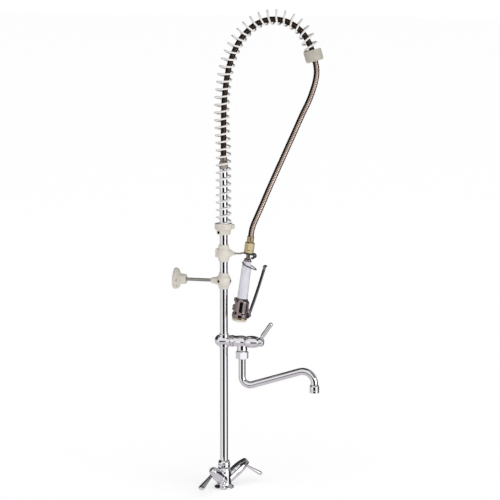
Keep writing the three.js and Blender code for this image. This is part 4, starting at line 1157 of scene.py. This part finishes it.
def add_hook_bracket():
    half = 21.5
    body = moved(lathe([
        (0, -half), (12, -half), (12.8, -half + 4), (14.6, -12), (16.2, -8), (16.9, -2), (16.9, 3),
        (16.2, 8), (13.9, 11), (13, half - 3), (12, half), (0, half),
    ], 64, 1.2), shift(0, 0, HOOK_Z))
    lug = block((17, 14, 21), (0, 13, HOOK_Z), 1.6)
    forward = shift(0, 0, HOOK_Z) @ turn(90, "X")
    arm = moved(lathe([
        (0, 0), (10, 0), (9.4, 16.6), (8.4, 19.6), (6.6, 22.2), (5, 23), (4.7, 25.4), (4.2, 28.8),
        (0, 28.8),
    ], 48, 0.6), forward)
    tee = cast(union(body, lug, arm), 0.6, 5)
    bore = rod_shape(SOCKET_R, HOOK_Z - half - 1, HOOK_Z + half + 1, 48, 0)
    wire = moved(rod_shape(2.5, 13.7, 30, 24, 0), forward)
    back = shift(0, 0, HOOK_Z) @ backward
    hole = moved(screw_hole(22), back)
    piece("hook_clamp", carve(tee, bore, wire, hole), CREAM, STAND, ["hook_tee"], sharp=45)
    add_grub_screw("hook_clamp_screw", "hook_tee_screw", back, 18.3, length=8)
    add_insert("hook_clamp_insert", back, 20.3)


def add_lower_collar():
    hub_z, flange_z, top_z, cup_z = 645.3, 657.7, 673.0, COLLAR_CUP_Z
    cup = lathe([
        (SOCKET_R, hub_z), (16.2, hub_z), (17.4, hub_z + 1), (17.6, flange_z - 2),
        (18.2, flange_z - 0.4), (21.4, flange_z), (22.2, flange_z + 1.2), (22.3, top_z - 2),
        (21.6, top_z), (20.6, top_z), (20.5, cup_z), (SOCKET_R, cup_z), (SOCKET_R, hub_z),
    ], 72, 0.5)
    lug = block((11, 6.5, 11), (0, -24, (flange_z + top_z) / 2), 1.2)
    at = shift(0, 0, hub_z + 6.2) @ turn(SIDE_SCREW_BEARING, "Z") @ turn(90, "Y")
    hole = moved(screw_hole(20), at)
    collar = carve(union(cup, lug), hole)
    piece("lower_spring_cup", collar, CREAM, STAND, ["spring_lower_collar"], sharp=35)
    add_grub_screw("lower_cup_screw", "lower_collar_screw", at, 16.3)
    add_insert("lower_cup_insert", at, 17.9)


def add_top_collar():
    centre, along, outward, side = spring_frame(TOP_COLLAR_MIDDLE)
    at = Matrix.Translation(centre) @ Matrix((outward, side, along)).transposed().to_4x4()
    cup = lathe([
        (9, 0), (20.6, 0), (20.6, -14), (21.4, -14), (22, -13), (22, -9.4), (21.5, -8.8), (22, -8.2),
        (22, 8.4), (21.2, 11.6), (19.6, 13.6), (18.4, 14), (10.4, 14), (9, 12.6), (9, 0),
    ], 72, 0.5)
    hole_at = turn(180 - 16, "Z") @ shift(0, 0, 5) @ turn(90, "Y")
    collar = carve(cup, moved(rod_shape(2.2, 12, 24, 24, 0), hole_at))
    # The top cup's darker cream plastic is painted shade.
    piece("top_spring_cup", collar, SHADED_CREAM, STAND, ["spring_top_collar"], at, 35)
    screw_at = at @ hole_at @ shift(0, 0, 20.4)
    piece("top_cup_screw", socket_screw(2.0, 6, 1.1), BLACK_SCREW, STAND, [], screw_at)


add_wall_bracket()
add_wall_flange()
add_hook_bracket()
add_lower_collar()
add_top_collar()


# ---------------------------------------------------------------- spray gun and its hook

GUN_TILT = 8
gun_at = shift(0, -63.5, 597) @ turn(GUN_TILT, "X")  # Z up the handle, -Y to the user
GRIP_TOP = -16.5
GRIP_LOW = -111.5
BODY_LOW = -160.0
STEM_LEVEL = -138.0
LEVER_PIVOT = (21.5, -153.0)                         # [forward, height]
LEVER_LEAN = 10.4
LEVER_LENGTH = 134
RING_DIP = 19
FLUTES = 12


def add_hook_fork():
    """A wire that ends in a two-pronged fork, its tips curled down."""
    level, spread, curl_r, wire_r = 2.9, 8.3, 4.6, 2.2
    curl = [(-13 - curl_r * math.sin(a), level - curl_r + curl_r * math.cos(a))
            for a in (math.radians(230 * i / 14) for i in range(15))]
    left = [Vector((-spread, y, z)) for y, z in curl][::-1]
    right = [Vector((spread, y, z)) for y, z in curl]
    sides = [Vector((0, y, level)) for y in (-9, -5, -1)]
    bend = [Vector((-spread * math.cos(a), 2 + spread * math.sin(a), level))
            for a in (math.pi * i / 18 for i in range(19))]
    left += [Vector((-spread, p.y, p.z)) for p in sides]
    right = [Vector((spread, p.y, p.z)) for p in sides[::-1]] + right
    fork = moved(sweep(left + bend + right, wire_r, 16, rounded=1.2), gun_at)
    heel = gun_at @ Vector((0, 2 + spread, level))
    stem = [Vector((0, -ahead, height)) for ahead, height in
            ((14, HOOK_Z), (26, HOOK_Z), (38, HOOK_Z), (43, HOOK_Z + 0.5), (48, HOOK_Z + 1.6))] + [heel]
    piece("gun_fork", fork, DARK_WIRE, STAND, ["hook_fork"], sharp=50)
    piece("gun_fork_stem", sweep(stem, wire_r, 16), ROD_STEEL, STAND, ["hook_fork"], sharp=50)


def add_coupling():
    bores = [rod_shape(9.1, 9.6, 29, 40, 0), rod_shape(7.4, 20, 40, 40, 0), rod_shape(5.6, 0, 12, 40, 0)]
    nut = carve(hex_shape(12.8, 5.4, 31, 1.4), *bores)
    groove = ring_shape(11.0, 14, 11.5, 13, 56, 0)
    piece("coupling_hex", carve(nut, groove), BRASS, GUN, ["gun_coupling_nut"], gun_at, 28)
    piece("hose_ferrule_lower", ferrule_shape(31.3, 46), BRASS, GUN, ["hose_ferrule_gun"], gun_at,
          slot="nickel")
    neck = lathe([
        (0, -60), (6.9, -60), (6.9, GRIP_TOP - 1), (8.9, GRIP_TOP + 0.4), (9.4, GRIP_TOP + 2.6),
        (8.6, GRIP_TOP + 5), (5.4, GRIP_TOP + 7), (5, -8), (5, 9.9), (8.8, 9.9), (8.8, 13), (0, 13),
    ], 48, 0.6)
    piece("gun_neck", neck, DARK_NICKEL, GUN, ["gun_nipple"], gun_at, slot="nickel")


def add_grip():
    """A moulded sleeve: a flared foot, a collar and groove at its top, and one shallow mark."""
    profile = [
        (7.2, GRIP_LOW), (12.4, GRIP_LOW), (13, GRIP_LOW + 0.8), (13, -98), (12.7, -80), (12.3, -50),
        (12, -29), (11.6, -27.4), (9.9, -26.2), (9.8, -22), (9.9, -19.4), (11.2, -18.4),
        (11.3, GRIP_TOP - 0.6), (10.8, GRIP_TOP), (7.2, GRIP_TOP), (7.2, GRIP_LOW),
    ]
    sleeve = lathe(profile, 72, 0.6)
    mark = block((3, 1.6, 6), (-12.1, -3, -36), 0.5)
    flutes = [
        moved(rod_shape(0.55, -104, -42, 12, 0.3), turn(360 * k / FLUTES, "Z") @ shift(12.9))
        for k in range(FLUTES)
    ]
    piece("grip_sleeve", carve(sleeve, mark, *flutes), GRIP, GUN, ["gun_grip"], gun_at, 40)


def add_hold_ring():
    back_r, front_r, length, wire_r = 14.6, 8.0, 38.6, 1.3
    back = arc((back_r, 0), back_r, 90, 270, 26)
    front = arc((length - front_r, 0), front_r, -80, 80, 16)
    loop = [(back_r + 4.5, 13.1)] + back + front + [(back_r + 5.3, 12.8)]
    points = [Vector((across, -ahead, 0)) for ahead, across in loop]
    hinge = gun_at @ shift(0, 11.6, -21.5) @ turn(RING_DIP, "X")
    wire = sweep(points, wire_r, 14, rounded=0.6)
    piece("ring_wire", wire, DARK_WIRE, "hold_ring_body", ["hold_ring"], hinge)


def add_gun_body():
    shell = lathe([
        (0, BODY_LOW), (19.6, BODY_LOW), (20.4, BODY_LOW + 1), (20.4, -151.5), (19.6, -149.6),
        (17.6, -147.2), (17.2, -145.5), (17.2, -121), (16.9, -117.6), (15.6, -114.6),
        (13.6, GRIP_LOW - 0.4), (0, GRIP_LOW - 0.4),
    ], 64, 0.7)
    ahead, height = LEVER_PIVOT
    stem_block = block((17, 9, 30), (0, -13.5, -134), 1.2)
    forward = shift(0, 0, STEM_LEVEL) @ turn(90, "X")
    plug = moved(rod_shape(8, -20.6, -12, 40, 1.2), forward)
    rear_bead = moved(rod_shape(5.2, -20.0, -12, 40, 1.4), shift(0, 0, -117.5) @ turn(90, "X"))
    lugs = [moved(rod_shape(5, 0, 3.4, 36, 0.7), shift(side * 6.9 - 1.7, -ahead, height) @ turn(90, "Y"))
            for side in (-1, 1)]
    webs = [block((3.4, 9, 9), (side * 6.9, -(ahead - 4.5), height), 0.7) for side in (-1, 1)]
    solid = union(shell, stem_block, plug, rear_bead, *lugs, *webs)
    cavity = rod_shape(13.8, BODY_LOW - 1, -152, 48, 0)
    slot = block((10.4, 14, 17), (0, -22.8, -153.5), 0)
    pin = moved(rod_shape(2.3, -12, 12, 24, 0), shift(0, -ahead, height) @ turn(90, "Y"))
    solid = carve(solid, cavity, slot, pin)
    piece("gun_casting", solid, DARK_NICKEL, GUN, ["gun_body"], gun_at, 32)
    rivet = union(rod_shape(2, -9.2, 9.6, 24, 0.4),
                  lathe([(0, 8.9), (3.4, 8.9), (3.4, 9.8), (2.4, 10.6), (0, 10.6)], 28, 0.3))
    piece("lever_rivet", rivet, DARK_WIRE, GUN, ["gun_lever_pin"],
          gun_at @ shift(0, -ahead, height) @ turn(90, "Y"))
    packing = carve(hex_shape(5.4, 18.3, 19.3, 0.3), rod_shape(2.6, 17, 21, 24, 0))
    piece("packing_hex", packing, BRASS, GUN, ["gun_packing_nut"], gun_at @ forward)
    stem = union(rod_shape(2.2, -8, 21, 24, 0.4), rod_shape(4.8, -9, -6, 24, 0.3))
    piece("push_stem", stem, STEEL, "gun_stem_body", ["gun_stem"], gun_at @ forward)


def add_gun_lever():
    """A pressed strap with raised edges, a knuckle at its foot and a T-shaped end."""
    rings = []
    for i in range(31):
        t = i / 30
        height = LEVER_LENGTH * t
        half = 4.6 + 1.6 * smooth_step((t - 0.04) / 0.08) - 1.0 * smooth_step((t - 0.2) / 0.7)
        half += 1.9 * smooth_step((t - 0.955) / 0.045)
        bow = -1.1 * math.sin(math.pi * min(1.0, t * 1.05))
        outline = [
            (-half, 1.9), (-half + 0.9, 2.5), (half - 0.9, 2.5), (half, 1.9), (half, -2.2),
            (half - 0.5, -3.1), (half - 1.5, -3.1), (half - 2.1, -1.4), (-half + 2.1, -1.4),
            (-half + 1.5, -3.1), (-half + 0.5, -3.1), (-half, -2.2),
        ]
        rings.append([(x, y + bow, height) for x, y in outline])
    strap = loft(rings)
    knuckle = moved(rod_shape(4.6, -4.7, 4.7, 36, 0.6), turn(90, "Y"))
    flattened = shift(0, -0.6, LEVER_LENGTH) @ turn(90, "Y") @ Matrix.Scale(0.5, 4, (1, 0, 0))
    tee = moved(rod_shape(4.4, -8, 8, 36, 1.2), flattened)
    lever = carve(union(strap, knuckle, tee), moved(rod_shape(2.3, -8, 8, 24, 0), turn(90, "Y")))
    ahead, height = LEVER_PIVOT
    at = gun_at @ shift(0, -ahead, height) @ turn(LEVER_LEAN, "X")
    piece("squeeze_lever", lever, LEVER_METAL, "gun_lever_body", ["gun_lever"], at, 35)


def add_spray_head():
    piece("head_ring", lathe([
        (14.6, BODY_LOW - 3.6), (18.2, BODY_LOW - 3.6), (18.9, BODY_LOW - 2.8), (18.9, BODY_LOW - 1),
        (18.4, BODY_LOW - 0.3), (14.6, BODY_LOW - 0.3), (14.6, BODY_LOW - 3.6),
    ], 64, 0.3), BRASS, GUN, ["spray_ring"], gun_at)
    bumper = lathe([
        (13.5, BODY_LOW - 3.9), (13.5, -168.2), (14.3, -169.3), (15.6, -169.6), (16.8, -169.4),
        (18, -168.2), (18.4, -166.2), (18.4, BODY_LOW - 4.4), (18, BODY_LOW - 3.9),
        (13.5, BODY_LOW - 3.9),
    ], 64, 0.4)
    piece("head_bumper", bumper, PALE_RUBBER, GUN, ["spray_bumper"], gun_at)
    disc = rod_shape(13.1, -167.6, BODY_LOW - 3.9, 56, 0.6)
    drills = []
    for count, radius in ((4, 3.4), (8, 7.0), (12, 10.6)):
        for k in range(count):
            at = turn(360 * k / count, "Z") @ shift(radius)
            drills.append(moved(rod_shape(0.7, -169, -165, 10, 0), at))
    piece("head_face", carve(disc, *drills), STEEL, GUN, ["spray_face"], gun_at)


add_hook_fork()
add_coupling()
add_grip()
add_hold_ring()
add_gun_body()
add_gun_lever()
add_spray_head()


# ---------------------------------------------------------------- inner CAD nodes that stay

KEPT = {
    BRASS: ["hot_cartridge", "hot_bonnet", "hot_spindle", "cold_cartridge", "cold_bonnet", "cold_spindle",
            "spout_cartridge", "spout_spindle"],
    STEEL: ["hot_lever_screw", "cold_lever_screw", "gun_stem_spring"],
    BLACK_RUBBER: ["base_gasket", "riser_oring"],
}
for finish, names in KEPT.items():
    for kept in names:
        frame["nodes"][kept].data.materials.clear()
        frame["nodes"][kept].data.materials.append(finish)

boxes = {"cad": cad_box, "visual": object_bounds()}
{name: [list(corner) for corner in box] for name, box in boxes.items()}
